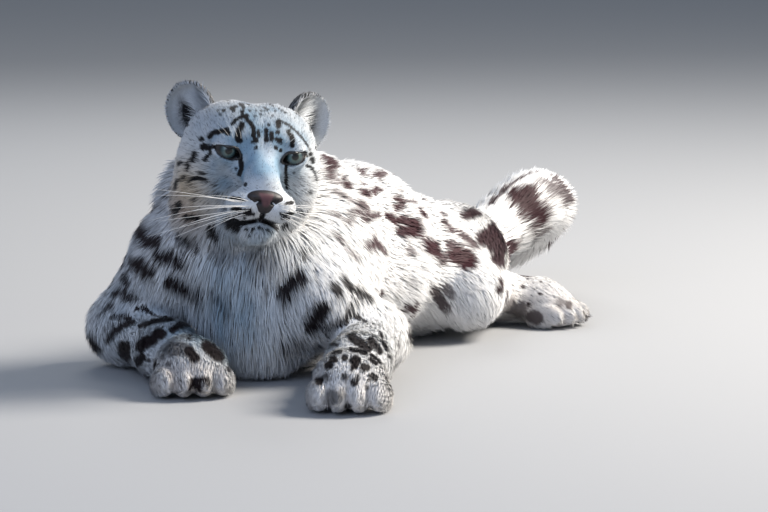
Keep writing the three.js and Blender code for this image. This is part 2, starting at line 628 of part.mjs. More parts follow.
for (let part = 0; part < TAIL_PARTS; part++) {
  const [from, to] = [(part * TAIL_STEPS) / TAIL_PARTS, ((part + 1) * TAIL_STEPS) / TAIL_PARTS];
  const core = lofted(ringsAlong(tailCurve, TAIL_STEPS, TAIL_SIDES, coreRadius, from, to));
  const near = tailLocks.filter((lock) => lock.part === part);
  let length = joined([core, ...near.map(({ shape }) => shape)]);
  if (part > 0) length = length.intersect(tailPlane(from, -1, GAP / 2));
  if (part < TAIL_PARTS - 1) length = length.intersect(tailPlane(to, 1, GAP / 2));
  add(`tail_${part + 1}`, length.intersect(floor).subtract(trunkClear));
}

export default model;
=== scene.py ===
# %% [markdown]
# # A snow leopard at rest, life size
# The animal lies on its chest with its head up. The solid model gives its place, size and pose. This script clothes
# it: a smooth skin, a coat of tufts, eyes, nose, ears and whiskers. Coat and skin carry the same marks.

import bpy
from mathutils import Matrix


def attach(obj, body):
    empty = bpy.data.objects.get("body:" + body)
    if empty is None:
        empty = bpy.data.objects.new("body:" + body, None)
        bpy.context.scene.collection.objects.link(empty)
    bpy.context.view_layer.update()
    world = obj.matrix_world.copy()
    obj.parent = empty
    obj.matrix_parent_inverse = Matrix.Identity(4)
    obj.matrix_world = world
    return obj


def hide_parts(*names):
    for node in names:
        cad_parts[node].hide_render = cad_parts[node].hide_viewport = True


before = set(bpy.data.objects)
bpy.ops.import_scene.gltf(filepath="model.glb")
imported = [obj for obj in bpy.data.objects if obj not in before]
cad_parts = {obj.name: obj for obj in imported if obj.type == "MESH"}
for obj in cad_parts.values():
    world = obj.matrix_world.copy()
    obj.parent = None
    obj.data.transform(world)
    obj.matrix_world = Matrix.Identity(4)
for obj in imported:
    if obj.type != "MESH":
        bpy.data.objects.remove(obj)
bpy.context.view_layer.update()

# %% [markdown]
# Sizes below are in millimetres, as on a drawing of the animal, and are turned to metres only when a mesh is made.
# All chance comes from one seeded source, so the coat grows the same way each time.

# %% Tools and units
import math

import bmesh
import bpy
import numpy as np
from mathutils import Matrix, Vector
from mathutils.bvhtree import BVHTree
from mathutils.kdtree import KDTree

MM = 0.001
FLOOR_CLEAR = 0.6  # nothing of the coat lies lower than this above the floor
chance = np.random.default_rng(41)


def vec(*parts):
    return np.array(parts, float)


def unit(v):
    return v / np.maximum(np.linalg.norm(v, axis=-1, keepdims=True), 1e-9)


def fade(x, start, over):
    """0 at the start, rising to 1 when x has gone on by over, which is negative where x falls."""
    return np.clip((x - start) / over, 0, 1)


def soft_patch(p, place, reach):
    """1 at a place, dying away past its reach."""
    return np.exp(-(((p - place) / reach) ** 2).sum(-1))


# %% [markdown]
# The camera looks from the front, a little to the animal's left and slightly from above, through a long lens. Its
# place is worked out from the point of the picture where the origin on the floor falls.

# %% Camera
PICTURE_WIDE, PICTURE_HIGH = 768, 512
FOCAL_PX = 3864
CAMERA_AWAY = 4600
SENSOR_WIDE = 36
ORIGIN_PX = (270, 370)
turned, raised = math.radians(27), math.radians(7.5)
cam_right = vec(math.cos(turned), math.sin(turned), 0)
cam_back = vec(math.sin(turned) * math.cos(raised), -math.cos(turned) * math.cos(raised), math.sin(raised))
cam_up = np.cross(cam_back, cam_right)
px_per_mm = FOCAL_PX / CAMERA_AWAY
aim = (cam_right * (PICTURE_WIDE / 2 - ORIGIN_PX[0]) + cam_up * (ORIGIN_PX[1] - PICTURE_HIGH / 2)) / px_per_mm
cam_at = aim + cam_back * CAMERA_AWAY

bpy.ops.object.select_all(action="DESELECT")
bpy.ops.object.camera_add(location=cam_at * MM)
camera = bpy.context.object
facing = Matrix([cam_right, cam_up, cam_back]).transposed().to_4x4()
camera.matrix_world = Matrix.Translation(Vector(cam_at * MM)) @ facing
camera.data.sensor_width = SENSOR_WIDE
camera.data.lens = SENSOR_WIDE * FOCAL_PX / PICTURE_WIDE
camera.data.clip_end = 50
bpy.context.scene.camera = camera
print("camera at", np.round(cam_at), "mm, lens", round(camera.data.lens, 1))


def sight(x, y):
    """The way from the camera through a point of the picture."""
    return unit(cam_right * (x - PICTURE_WIDE / 2) - cam_up * (y - PICTURE_HIGH / 2) - cam_back * FOCAL_PX)


# %% [markdown]
# The body is built up as an artist blocks it in clay, from egg-shaped masses and tapered limbs that flow into each
# other. Each mass is a field: a function that gives how far a point is outside it, and is negative inside. Fields
# blend smoothly, so they give the rounded joins that separate spheres and cones can't.

# %% Fields
def ball(centre, radii, turn=None):
    """An egg with its middle, its three radii and its turn."""
    def field(p):
        q = p - centre
        if turn is not None:
            q = q @ turn
        near = np.linalg.norm(q / radii, axis=-1)
        slope = np.linalg.norm(q / (radii * radii), axis=-1)
        return near * (near - 1) / np.maximum(slope, 1e-9)
    field.form = ("ball", centre, radii, turn)
    return field


def limb(a, b, at_a, at_b):
    """A tapered rod with round ends."""
    along = b - a
    def field(p):
        t = np.clip((p - a) @ along / (along @ along), 0, 1)
        return np.linalg.norm(p - a - t[..., None] * along, axis=-1) - (at_a + (at_b - at_a) * t)
    field.form = ("limb", a, b, at_a, at_b)
    return field


def soften(a, b, k):
    """Two fields joined, with a fillet where they meet within k millimetres."""
    h = np.maximum(k - np.abs(a - b), 0) / k
    return np.minimum(a, b) - h * h * k / 4


def smooth_line(points, count, closed=False):
    """Points evenly spaced on a curve through the given ones, and the curve's length."""
    if closed:
        ends = np.vstack([points[-1:], points, points[:2]])
    else:
        ends = np.vstack([2 * points[0] - points[1], points, 2 * points[-1] - points[-2]])
    fine = []
    for n in range(len(ends) - 3):
        a, b, c, d = ends[n:n + 4]
        t = np.linspace(0, 1, 24, endpoint=False)[:, None]
        bend, twist = 2 * a - 5 * b + 4 * c - d, 3 * b - a - 3 * c + d
        fine.append(0.5 * (2 * b + (c - a) * t + bend * t * t + twist * t ** 3))
    fine = np.vstack(fine + [ends[-2:-1]])
    run = np.concatenate([[0], np.cumsum(np.linalg.norm(np.diff(fine, axis=0), axis=1))])
    even = np.linspace(0, run[-1], count)
    return np.stack([np.interp(even, run, fine[:, k]) for k in range(points.shape[1])], axis=1), run[-1]


def about(axis, degrees):
    """A turn about the x, y or z axis, as a matrix."""
    c, s = math.cos(math.radians(degrees)), math.sin(math.radians(degrees))
    first, second = {"x": (1, 2), "y": (2, 0), "z": (0, 1)}[axis]
    turn = np.eye(3)
    turn[first, first] = turn[second, second] = c
    turn[first, second], turn[second, first] = -s, s
    return turn


# %% [markdown]
# The head is described in its own frame, nose towards -Y and its left towards +X, then turned and tipped into place.

# %% Head frame
HEAD_AT = vec(22, -88, 262)
HEAD_TURN = about("z", 40) @ about("y", 6.5)
SIDES = ((1, "left"), (-1, "right"))


def to_head(p):
    return (p - HEAD_AT) @ HEAD_TURN


def from_head(q):
    return q @ HEAD_TURN.T + HEAD_AT


def way_from_head(q):
    return q @ HEAD_TURN.T


def mirrored(q):
    """Points of the head's frame, all brought to its left half."""
    return np.abs(q[..., :1]) * vec(1, 0, 0) + q * vec(0, 1, 1)


# %% [markdown]
# Each mass knows how deep the coat is over it, how long and wide its tufts are, how far they stand off the skin, and
# which way they lie. The flesh is the mass less its coat, so the tips of the coat end where the solid model does.

# %% Masses of the trunk and neck
masses = {}


def mass(part, name, field, coat, hair, wide, lift, lie):
    masses[name] = dict(part=part, field=field, coat=coat, hair=hair, wide=wide, lift=lift, lie=lie)


BACKWARD = vec(0.0, 1.0, -0.28)
DOWN = vec(0.03, -0.12, -1.0)
mass("trunk", "breast", ball(vec(14, -56, 103), vec(92, 76, 107)), 19, 42, 1.5, 19, DOWN)
mass("trunk", "ribs", ball(vec(0, 64, 132), vec(112, 125, 136)), 13, 29, 1.6, 14, BACKWARD)
mass("trunk", "keel", ball(vec(2, 2, 66), vec(78, 92, 71)), 14, 34, 2.4, 14, vec(0, 0.8, -0.3))
mass("trunk", "waist", ball(vec(2, 188, 118), vec(112, 130, 124)), 15, 34, 1.75, 16, vec(0.0, 1.0, -0.5))
mass("trunk", "loin", ball(vec(4, 305, 92), vec(106, 115, 104)), 15, 34, 1.75, 16, BACKWARD)
mass("trunk", "rump", ball(vec(4, 410, 78), vec(86, 95, 82)), 14, 32, 1.7, 15, BACKWARD)
mass("trunk", "croup", ball(vec(16, 485, 66), vec(68, 66, 56)), 14, 32, 1.7, 15, BACKWARD)
mass("trunk", "nape", limb(vec(-14, 30, 160), vec(-8, -34, 212), 92, 76), 14, 31, 1.6, 17, vec(0, 0.9, -0.5))
mass("trunk", "throat", ball(vec(6, -66, 160), vec(80, 62, 70)), 19, 42, 1.5, 21, DOWN)
mass("trunk", "side_neck", ball(vec(-66, -18, 214), vec(64, 62, 58)), 14, 34, 1.7, 19, vec(-0.2, 0.5, -0.9))
shoulder = ball(vec(-84, -24, 148), vec(64, 86, 84), about("y", 12))
mass("trunk", "right_shoulder", shoulder, 11, 25, 1.6, 14, vec(-0.3, 0.3, -0.9))
shoulder = ball(vec(72, 10, 132), vec(50, 84, 84), about("y", -10))
mass("trunk", "left_shoulder", shoulder, 11, 25, 1.6, 14, vec(0.3, 0.3, -0.9))
print(len(masses), "masses of the trunk and neck")

# %% [markdown]
# The legs are tapered limbs from the shoulder or hip to the toes. The coat gets shorter down the leg, and lies along
# it.

# %% Masses of the legs
JOINTS = {  # shoulder or hip, elbow or knee, wrist or heel, and the foot
    "right_fore": [vec(-94, -50, 124), vec(-166, -52, 48), vec(-58, -142, 38), vec(0, -188, 32)],
    "left_fore": [vec(84, -46, 100), vec(120, 30, 46), vec(190, -140, 38), vec(210, -196, 32)],
    "right_hind": [vec(-40, 420, 84), vec(-96, 300, 66), vec(-122, 474, 36), vec(-158, 352, 24)],
    "left_hind": [vec(42, 415, 92), vec(106, 312, 62), vec(78, 462, 38), vec(136, 480, 26)],
}
THICK = {  # radii at the top, above and below the elbow, and at the wrist
    "right_fore": (66, 48, 43, 37), "left_fore": (56, 46, 42, 38),
    "right_hind": (78, 50, 42, 30), "left_hind": (70, 48, 44, 32)}
PAWS = {  # how far the paw is turned, and its half width and half height
    "right_fore": (34, 48, 34), "left_fore": (24, 48, 36), "right_hind": (-14, 40, 28), "left_hind": (74, 40, 30)}
for leg, (top, mid, low, tip) in JOINTS.items():
    at_top, at_mid, at_elbow, at_wrist = THICK[leg]
    yaw, wide, high = PAWS[leg]
    turn = about("z", yaw)
    sideways = math.copysign(0.5, top[0])
    down_leg = vec(sideways, 0.1, -0.9) if "fore" in leg else unit(mid - top)
    mass(leg, leg + "_upper", limb(top, mid, at_top, at_mid), 10, 22, 1.5, 14, down_leg)
    mass(leg, leg + "_lower", limb(mid, low, at_elbow, at_wrist), 7, 17, 1.3, 14, unit(low - mid) - vec(0, 0, 0.2))
    wrist = vec(tip[0], tip[1], 32) * 0.85 + low * 0.15
    toeward = turn @ vec(0, -1, 0)
    mass(leg, leg + "_wrist", limb(low, wrist, at_wrist - 2, 30), 5.5, 14, 1.15, 15, toeward - vec(0, 0, 0.1))
    back = turn @ vec(0, -2, 0) + vec(tip[0], tip[1], high * 0.9)
    foot = ball(back, vec(wide * 0.9, 48, high * 0.96), turn)
    mass(leg, leg + "_foot", foot, 4.5, 12, 1.1, 17, toeward - vec(0, 0, 0.3))
    for n in range(4):
        side = n - 1.5
        forward = -27 - 7 * (1.5 - abs(side))
        centre = turn @ vec(side * wide * 0.47, forward, 0) + vec(tip[0], tip[1], high * 0.52)
        toe_turn = turn @ about("z", -side * 6) @ about("x", -12)
        toe = ball(centre, vec(wide * 0.315, 29, high * 0.61), toe_turn)
        mass(leg, f"{leg}_toe_{n}", toe, 4, 11, 1.0, 20, toeward - vec(0, 0, 0.5))
print(len(masses), "masses so far")

# %% [markdown]
# The tail is as thick as a leg and almost as long as the body. Its masses are short limbs strung on a smooth curve.

# %% Masses of the tail
TAIL_POINTS = np.array([
    (22, 470, 74), (32, 552, 108), (42, 640, 136), (18, 716, 122), (-48, 776, 80), (-124, 790, 54),
    (-196, 752, 52), (-246, 672, 52), (-266, 580, 52), (-272, 490, 50), (-264, 420, 46), (-252, 372, 44)], float)
TAIL_RADIUS = 53


def tail_radius(share):
    """Slimmer at the root, fullest from a quarter of the way on, and round at the tip."""
    swell = 0.84 + 0.16 * fade(share, 0, 0.25)
    return TAIL_RADIUS * swell * np.sqrt(fade(share, 1.01, -0.07)) * (1 - 0.08 * share)


TAIL_COAT = 17
tail_line, tail_long = smooth_line(TAIL_POINTS, 29)
tail_shares = np.linspace(0, 1, len(tail_line))
for n in range(len(tail_line) - 1):
    a, b = tail_line[n], tail_line[n + 1]
    radii = tail_radius(tail_shares[n:n + 2])
    mass("tail", f"tail_{n}", limb(a, b, *radii), min(TAIL_COAT, radii[1] * 0.5), 36, 1.75, 22, unit(b - a))
print("tail", round(tail_long), "mm long")

# %% [markdown]
# The head's masses: braincase, brow, cheeks with their ruff, nose bridge, whisker pads, chin and jaw. Fur is shortest
# on the bridge of the nose and round the eyes and gets longer towards the cheeks and the back of the jaw.

# %% Masses of the head
def head_mass(name, form, coat, hair, wide, lift, lie=None):
    kind = form[0]
    if kind == "ball":
        field = ball(from_head(form[1]), form[2], HEAD_TURN)
    else:
        field = limb(from_head(form[1]), from_head(form[2]), form[3], form[4])
    mass("head", name, field, coat, hair, wide, lift, None if lie is None else way_from_head(unit(lie)))


EYE_APART = 39  # from the middle of the face to each pupil
head_mass("cranium", ("ball", vec(0, 14, 0), vec(82, 78, 62)), 5, 11, 1.05, 13)
head_mass("brow", ("ball", vec(0, -36, 26), vec(52, 36, 32)), 3.5, 6.5, 0.8, 11)
for s, side in SIDES:
    crown, cheek = ("ball", vec(s * 26, 0, 24), vec(46, 58, 42)), ("ball", vec(s * 42, 0, -28), vec(43, 52, 46))
    ruff, pad = ("ball", vec(s * 45, 26, -52), vec(42, 38, 46)), ("ball", vec(s * 17, -94, -44), vec(24.5, 26, 20))
    head_mass(f"crown_{side}", crown, 4.5, 9.5, 0.95, 13)
    head_mass(f"cheek_{side}", cheek, 7, 16, 1.2, 17, vec(s * 0.45, 0.75, -0.5))
    head_mass(f"ruff_{side}", ruff, 13, 32, 1.6, 26, vec(s * 0.6, 0.45, -0.66))
    head_mass(f"pad_{side}", pad, 2.6, 6, 0.75, 14, vec(s * 0.5, 0.8, -0.35))
    head_mass(f"lid_{side}", ("ball", vec(s * EYE_APART, -54.5, 12.5), vec(18, 17, 16.5)), 1.6, 3.6, 0.62, 11)
head_mass("bridge", ("limb", vec(0, -46, 2), vec(0, -94, -20), 27, 21), 2, 4.4, 0.66, 8, vec(0, 0.8, 0.5))
head_mass("chin", ("ball", vec(0, -80, -73), vec(22, 24, 19)), 4.5, 9, 0.9, 18, vec(0, 0.25, -1))
head_mass("jaw", ("limb", vec(0, -66, -62), vec(0, 5, -62), 26, 44), 9, 25, 1.4, 22, vec(0, 0.35, -1))
print(len(masses), "masses in all")

# %% [markdown]
# Relief of the face, added to the head's field: the line of the mouth between its lips, the groove under the nose,
# the hollows at the inner corners of the eyes and the ridges over them. A positive amount hollows, a negative one
# swells.

# %% Relief of the face
HALF_MOUTH = [(0, -59.5), (9, -61.5), (21, -66), (32, -74), (41, -84)]  # across, up
MOUTH = np.array([(-x, z) for x, z in HALF_MOUTH[:0:-1]] + HALF_MOUTH, float)


def away_from_line(p, line):
    """Distance from points to a line of straight pieces, and how far above it they are."""
    best = np.full(p.shape[:-1], 1e9)
    above = np.zeros(p.shape[:-1])
    for a, b in zip(line[:-1], line[1:]):
        along = b - a
        t = np.clip((p - a) @ along / (along @ along), 0, 1)
        off = p - a - t[..., None] * along
        away = np.linalg.norm(off, axis=-1)
        nearer = away < best
        best = np.where(nearer, away, best)
        above = np.where(nearer, off[..., -1], above)
    return best, above


RELIEF = [  # place, reach, amount
    (vec(21, -70, 2), vec(7, 12, 9), 2.6),
    (vec(37, -64, 29), vec(17, 16, 8), -4.5),
    (vec(45, -54, -9), vec(18, 18, 9), -3.5),
    (vec(30, -66, -22), vec(9, 20, 12), 2.2),
    (vec(10, -66, 16), vec(7, 16, 14), -1.4),
    (vec(24, -104, -46), vec(10, 12, 9), -1.6),
    (vec(0, -52, 30), vec(5, 20, 20), 1.2),
]


def face_relief(q):
    relief, left_half = np.zeros(q.shape[:-1]), mirrored(q)
    for place, reach, amount in RELIEF:
        relief += amount * soft_patch(left_half, place, reach)
    front = fade(q[..., 1], -50, -14)
    away, above = away_from_line(q[..., [0, 2]], MOUTH)
    relief += front * 4.2 * np.exp(-((away / 1.9) ** 2))
    relief -= front * 1.8 * np.exp(-(((above + 4.6) / 2.8) ** 2) - (q[..., 0] / 34) ** 4)
    groove = np.exp(-((q[..., 0] / 1.4) ** 2)) * fade(q[..., 2], -46, -3) * fade(q[..., 2], -61, 3)
    return relief + front * 2.0 * groove


# %% [markdown]
# The opening between the lids is drawn once, as a closed line round the pupil. Across is measured towards the nose,
# so one drawing serves both eyes. The upper lid is nearly straight, the lower one is round, and the inner corner runs
# low.

# %% The line of the lids
EYE_AT = vec(EYE_APART, -54.5, 13)
LIDS = np.array([  # towards the nose, up
    (15, -6.8), (12.6, 0.4), (7.5, 4.2), (-2, 4.6), (-10, 4.5),
    (-14.6, 3.0), (-13, -1), (-9.2, -5.6), (-0.6, -8.9), (8, -9.4)], float)
lid_line, _ = smooth_line(LIDS, 73, closed=True)
lid_angle = np.degrees(np.arctan2(lid_line[:, 1], lid_line[:, 0]))
lid_reach = np.linalg.norm(lid_line, axis=1)
print("eye opening", np.round(np.ptp(lid_line, axis=0), 1), "mm")


def eye_opening(q, s):
    """How far points of the head's frame are outside the opening between the lids of one eye, seen from in front."""
    toward_nose, up = -s * (q[..., 0] - s * EYE_AT[0]), q[..., 2] - EYE_AT[2]
    order = np.argsort(lid_angle)
    edge = np.interp(np.degrees(np.arctan2(up, toward_nose)), lid_angle[order], lid_reach[order], period=360)
    return np.hypot(toward_nose, up) - edge


# %% [markdown]
# All fields together give the skin. Points far from a mass get a large value for it, which saves most of the work.

# %% The whole skin as one field
FAR = 150.0
SOCKET_DEEP = 9
for row in masses.values():
    form = row["field"].form
    if form[0] == "ball":
        row["middle"], row["round"] = form[1], max(form[2])
    else:
        row["middle"], row["round"] = (form[1] + form[2]) / 2, np.linalg.norm(form[2] - form[1]) / 2 + max(form[3:])


def each_mass(p):
    """How far points are outside the flesh of each mass."""
    found = {}
    for name, row in masses.items():
        value = np.full(len(p), FAR)
        near = np.linalg.norm(p - row["middle"], axis=1) < row["round"] + 70
        if near.any():
            value[near] = row["field"](p[near]) + row["coat"]
        found[name] = value
    return found


def flesh(p):
    """How far points are outside the whole skin."""
    f = each_mass(p)
    def together(k, *names):
        total = f[names[0]]
        for name in names[1:]:
            total = soften(total, f[name], k)
        return total
    trunk = together(34, "breast", "ribs", "keel", "waist", "loin", "rump", "croup")
    trunk = soften(trunk, np.minimum(f["right_shoulder"], f["left_shoulder"]), 30)
    neck = together(30, "nape", "throat", "side_neck")
    both = lambda name: np.minimum(f[name + "_left"], f[name + "_right"])
    head = together(22, "cranium")
    for part in (both("crown"), f["brow"], both("cheek"), both("ruff"), f["jaw"]):
        head = soften(head, part, 22)
    muzzle = soften(soften(f["bridge"], both("pad"), 16), f["chin"], 8)
    head = soften(soften(head, muzzle, 20), both("lid"), 8)
    close = head < 30
    if close.any():
        q = to_head(p[close])
        carved = head[close] + face_relief(q)
        for s in (1, -1):
            carved += SOCKET_DEEP * fade(eye_opening(q, s), 0.8, -1.6) * (q[:, 1] < -40)
        head[close] = carved
    tail = f["tail_0"]
    for n in range(1, len(tail_line) - 1):
        tail = soften(tail, f[f"tail_{n}"], 6)
    whole = np.minimum(soften(trunk, neck, 30), soften(head, neck, 26))
    whole = np.minimum(whole, soften(trunk, tail, 22))
    for leg in JOINTS:
        foot = f[leg + "_foot"]
        for n in range(4):
            foot = soften(foot, f[f"{leg}_toe_{n}"], 9)
        shank = soften(soften(foot, f[leg + "_wrist"], 24), f[leg + "_lower"], 24)
        whole = np.minimum(whole, soften(trunk, f[leg + "_upper"], 30 if "fore" in leg else 40))
        whole = np.minimum(whole, soften(f[leg + "_upper"], shank, 24))
    return whole


def settle(p, field, rounds=3, most=5.0):
    """Points moved onto a field's surface."""
    for _ in range(rounds):
        here = field(p)
        slope = np.stack([field(p + step) - here for step in np.eye(3) * 0.4], axis=1) / 0.4
        size = np.maximum((slope ** 2).sum(1), 0.25)
        p = p - slope * np.clip(here / size, -most, most)[:, None]
    return p


def off_floor(p, clear=2.0):
    return np.concatenate([p[:, :2], np.maximum(p[:, 2:], clear)], axis=1)


# %% [markdown]
# The skin starts as spheres and cones, one for each mass, joined into one object and made one closed surface by a
# voxel remesh, which is how a sculptor merges blocked-in masses. A few rounds of smoothing even its faces out, and
# then every point is moved onto the field. The head and the paws are subdivided for the finer forms they carry. The
# skin could be pulled out of a cube face by face, but whole masses are easier to shift until the pose and bulk are
# right.

# %% Mesh helpers
def deselect():
    if bpy.context.object and bpy.context.object.mode != "OBJECT":
        bpy.ops.object.mode_set(mode="OBJECT")
    bpy.ops.object.select_all(action="DESELECT")


def only(obj):
    deselect()
    obj.select_set(True)
    bpy.context.view_layer.objects.active = obj
    return obj


def fix(obj, name):
    """Names a piece and puts its place, turn and size into its mesh."""
    only(obj)
    bpy.ops.object.transform_apply(location=True, rotation=True, scale=True)
    obj.name = obj.data.name = name
    return obj


def join(objects, name):
    only(objects[0])
    for obj in objects:
        obj.select_set(True)
    bpy.ops.object.join()
    return fix(bpy.context.object, name)


def points_of(obj):
    flat = np.empty(len(obj.data.vertices) * 3)
    obj.data.vertices.foreach_get("co", flat)
    return flat.reshape(-1, 3) / MM


def put_points(obj, points):
    obj.data.vertices.foreach_set("co", (points * MM).ravel())
    obj.data.update()


def lump(centre, radii, turn=None):
    """A sphere stretched to an egg, its radii in millimetres."""
    rotation = (0, 0, 0) if turn is None else Matrix(turn.tolist()).to_euler()
    bpy.ops.mesh.primitive_ico_sphere_add(subdivisions=4, radius=1, location=centre * MM, rotation=rotation)
    egg = bpy.context.object
    egg.scale = radii * MM
    return egg


def shaft(a, b, at_a, at_b):
    """A tapered rod with round ends."""
    along = Vector(b - a)
    rotation = along.to_track_quat("Z", "Y").to_euler()
    bpy.ops.mesh.primitive_cone_add(
        vertices=32, radius1=at_a * MM, radius2=at_b * MM, depth=along.length * MM,
        location=(a + b) / 2 * MM, rotation=rotation)
    rod = bpy.context.object
    return [rod, lump(a, vec(1, 1, 1) * at_a), lump(b, vec(1, 1, 1) * at_b)]


def voxel_skin(obj, size):
    only(obj)
    obj.data.remesh_voxel_size = size * MM
    obj.data.remesh_voxel_adaptivity = 0
    bpy.ops.object.voxel_remesh()


def apply_modifier(obj, kind, **settings):
    only(obj)
    modifier = obj.modifiers.new(kind.title(), kind)
    for key, value in settings.items():
        setattr(modifier, key, value)
    bpy.ops.object.modifier_apply(modifier=modifier.name)


# %% Block in the masses and merge them
SKIN_GRID = 6.0
blocks = []
for name, row in masses.items():
    form, coat = row["field"].form, row["coat"]
    if form[0] == "ball":
        blocks.append(lump(form[1], form[2] - coat, form[3]))
    else:
        blocks += shaft(form[1], form[2], form[3] - coat, max(form[4] - coat, 1.5))
skin = join(blocks, "skin")
voxel_skin(skin, SKIN_GRID)
apply_modifier(skin, "SMOOTH", factor=0.5, iterations=6)
put_points(skin, off_floor(settle(points_of(skin), flesh, most=8)))
apply_modifier(skin, "SMOOTH", factor=0.5, iterations=3)
print("skin blocked in with", len(skin.data.polygons), "faces")


# %% Finer faces on the head, then on the front of the face and the paws
def refine(obj, chosen):
    """Divides the faces whose middles the test picks out."""
    only(obj)
    middles = np.empty(len(obj.data.polygons) * 3)
    obj.data.polygons.foreach_get("center", middles)
    flags = chosen(middles.reshape(-1, 3) / MM)
    bpy.ops.object.mode_set(mode="EDIT")
    bpy.ops.mesh.select_mode(type="FACE")
    bpy.ops.mesh.select_all(action="DESELECT")
    bpy.ops.object.mode_set(mode="OBJECT")
    obj.data.polygons.foreach_set("select", flags)
    bpy.ops.object.mode_set(mode="EDIT")
    bpy.ops.mesh.subdivide(number_cuts=1, smoothness=0)
    bpy.ops.object.mode_set(mode="OBJECT")


def on_head(p):
    q = to_head(p)
    return (np.linalg.norm(q / vec(100, 125, 100), axis=1) < 1) & (q[:, 1] < 50) & (p[:, 2] > 140)


def on_paws(p):
    near = np.zeros(len(p), bool)
    for leg, (_, _, _, tip) in JOINTS.items():
        ahead = about("z", PAWS[leg][0]) @ vec(0, -18, 0)
        near |= np.linalg.norm((p - vec(tip[0], tip[1], 26) - ahead) / vec(62, 62, 50), axis=1) < 1
    return near


def on_front(p):
    q = to_head(p)
    muzzle = np.linalg.norm((q - vec(0, -88, -44)) / vec(48, 42, 48), axis=1) < 1
    eyes = np.linalg.norm((mirrored(q) - vec(EYE_APART, -62, 13)) / vec(25, 24, 20), axis=1) < 1
    return muzzle | eyes


refine(skin, lambda p: on_head(p) | on_paws(p))
put_points(skin, off_floor(settle(points_of(skin), flesh, rounds=2)))
refine(skin, on_front)
put_points(skin, off_floor(settle(points_of(skin), flesh, most=2.5)))
bpy.ops.object.shade_smooth()
print("skin has", sum(len(face.vertices) - 2 for face in skin.data.polygons), "triangles")

# %% [markdown]
# Markings are strokes set on the coat. Those on the side that the picture shows are placed by their points in it,
# sent along the line of sight until they meet the coat's outer surface, so they sit on the body from any side. They
# could be painted as a picture on the skin's map, but strokes need no picture and colour the skin and each hair over
# it alike.

# %% Find the coat along a line of sight
def tree_of(points, triangles):
    return BVHTree.FromPolygons([tuple(p) for p in points], [tuple(t) for t in triangles])


def mesh_arrays(obj):
    """Points in millimetres, triangles, and the normal at each point."""
    obj.data.calc_loop_triangles()
    flat = np.empty(len(obj.data.loop_triangles) * 3, np.int64)
    obj.data.loop_triangles.foreach_get("vertices", flat)
    normals = np.empty(len(obj.data.vertices) * 3)
    obj.data.vertices.foreach_get("normal", normals)
    return points_of(obj), flat.reshape(-1, 3), normals.reshape(-1, 3)


def near_masses(p, keys, follow=6.0):
    """The traits of the masses near each point, mixed by nearness."""
    f = each_mass(p)
    total = np.full(len(p), 1e-9)
    mixed = {key: np.zeros(len(p)) for key in keys}
    for name, row in masses.items():
        weight = np.where(f[name] < 60, np.exp(-np.clip(f[name], -4, 60) / follow), 0)
        total += weight
        for key in keys:
            mixed[key] += weight * row[key]
    return {key: value / total for key, value in mixed.items()}


skin_points, skin_triangles, skin_normals = mesh_arrays(skin)
skin_coat = near_masses(skin_points, ["coat"])["coat"]
COAT_SHARE = 0.85  # marks are met a little below the tips
coat_points = skin_points + skin_normals * (skin_coat * COAT_SHARE)[:, None]
coat_tree = tree_of(coat_points, skin_triangles)


def seen(x, y):
    """Where a point of the picture lies on the coat, in millimetres, with the line of sight there, or None."""
    hit, _, _, _ = coat_tree.ray_cast(Vector(cam_at), Vector(sight(x, y)))
    return None if hit is None else np.concatenate([hit, sight(x, y)])


# %% [markdown]
# A stroke is a chain of dabs, each with a place, a half width, how dark it is and how brown. The marks are black on
# the head, neck and legs, and turn maroon brown on the flank and tail. A few strokes are painted shade and not marks:
# under the chin where it meets the chest, and under the toes of a hind foot. Points and half widths are in the
# picture's pixels. Each dab is pushed through the coat along the line of sight, so that the hair in front of it is
# coloured too.

# %% Strokes seen in the picture
dabs = []  # place, axis, half width, darkness, brownness


def dab_along(places, half, dark, brown):
    for a, b in zip(places, places[1:] or places):
        gap = np.linalg.norm((b - a)[:3])
        if gap < 90:
            for share in np.linspace(0, 1, max(int(gap / (half * 0.7)), 1) + 1):
                dabs.append((*(a + (b - a) * share), half, dark, brown))


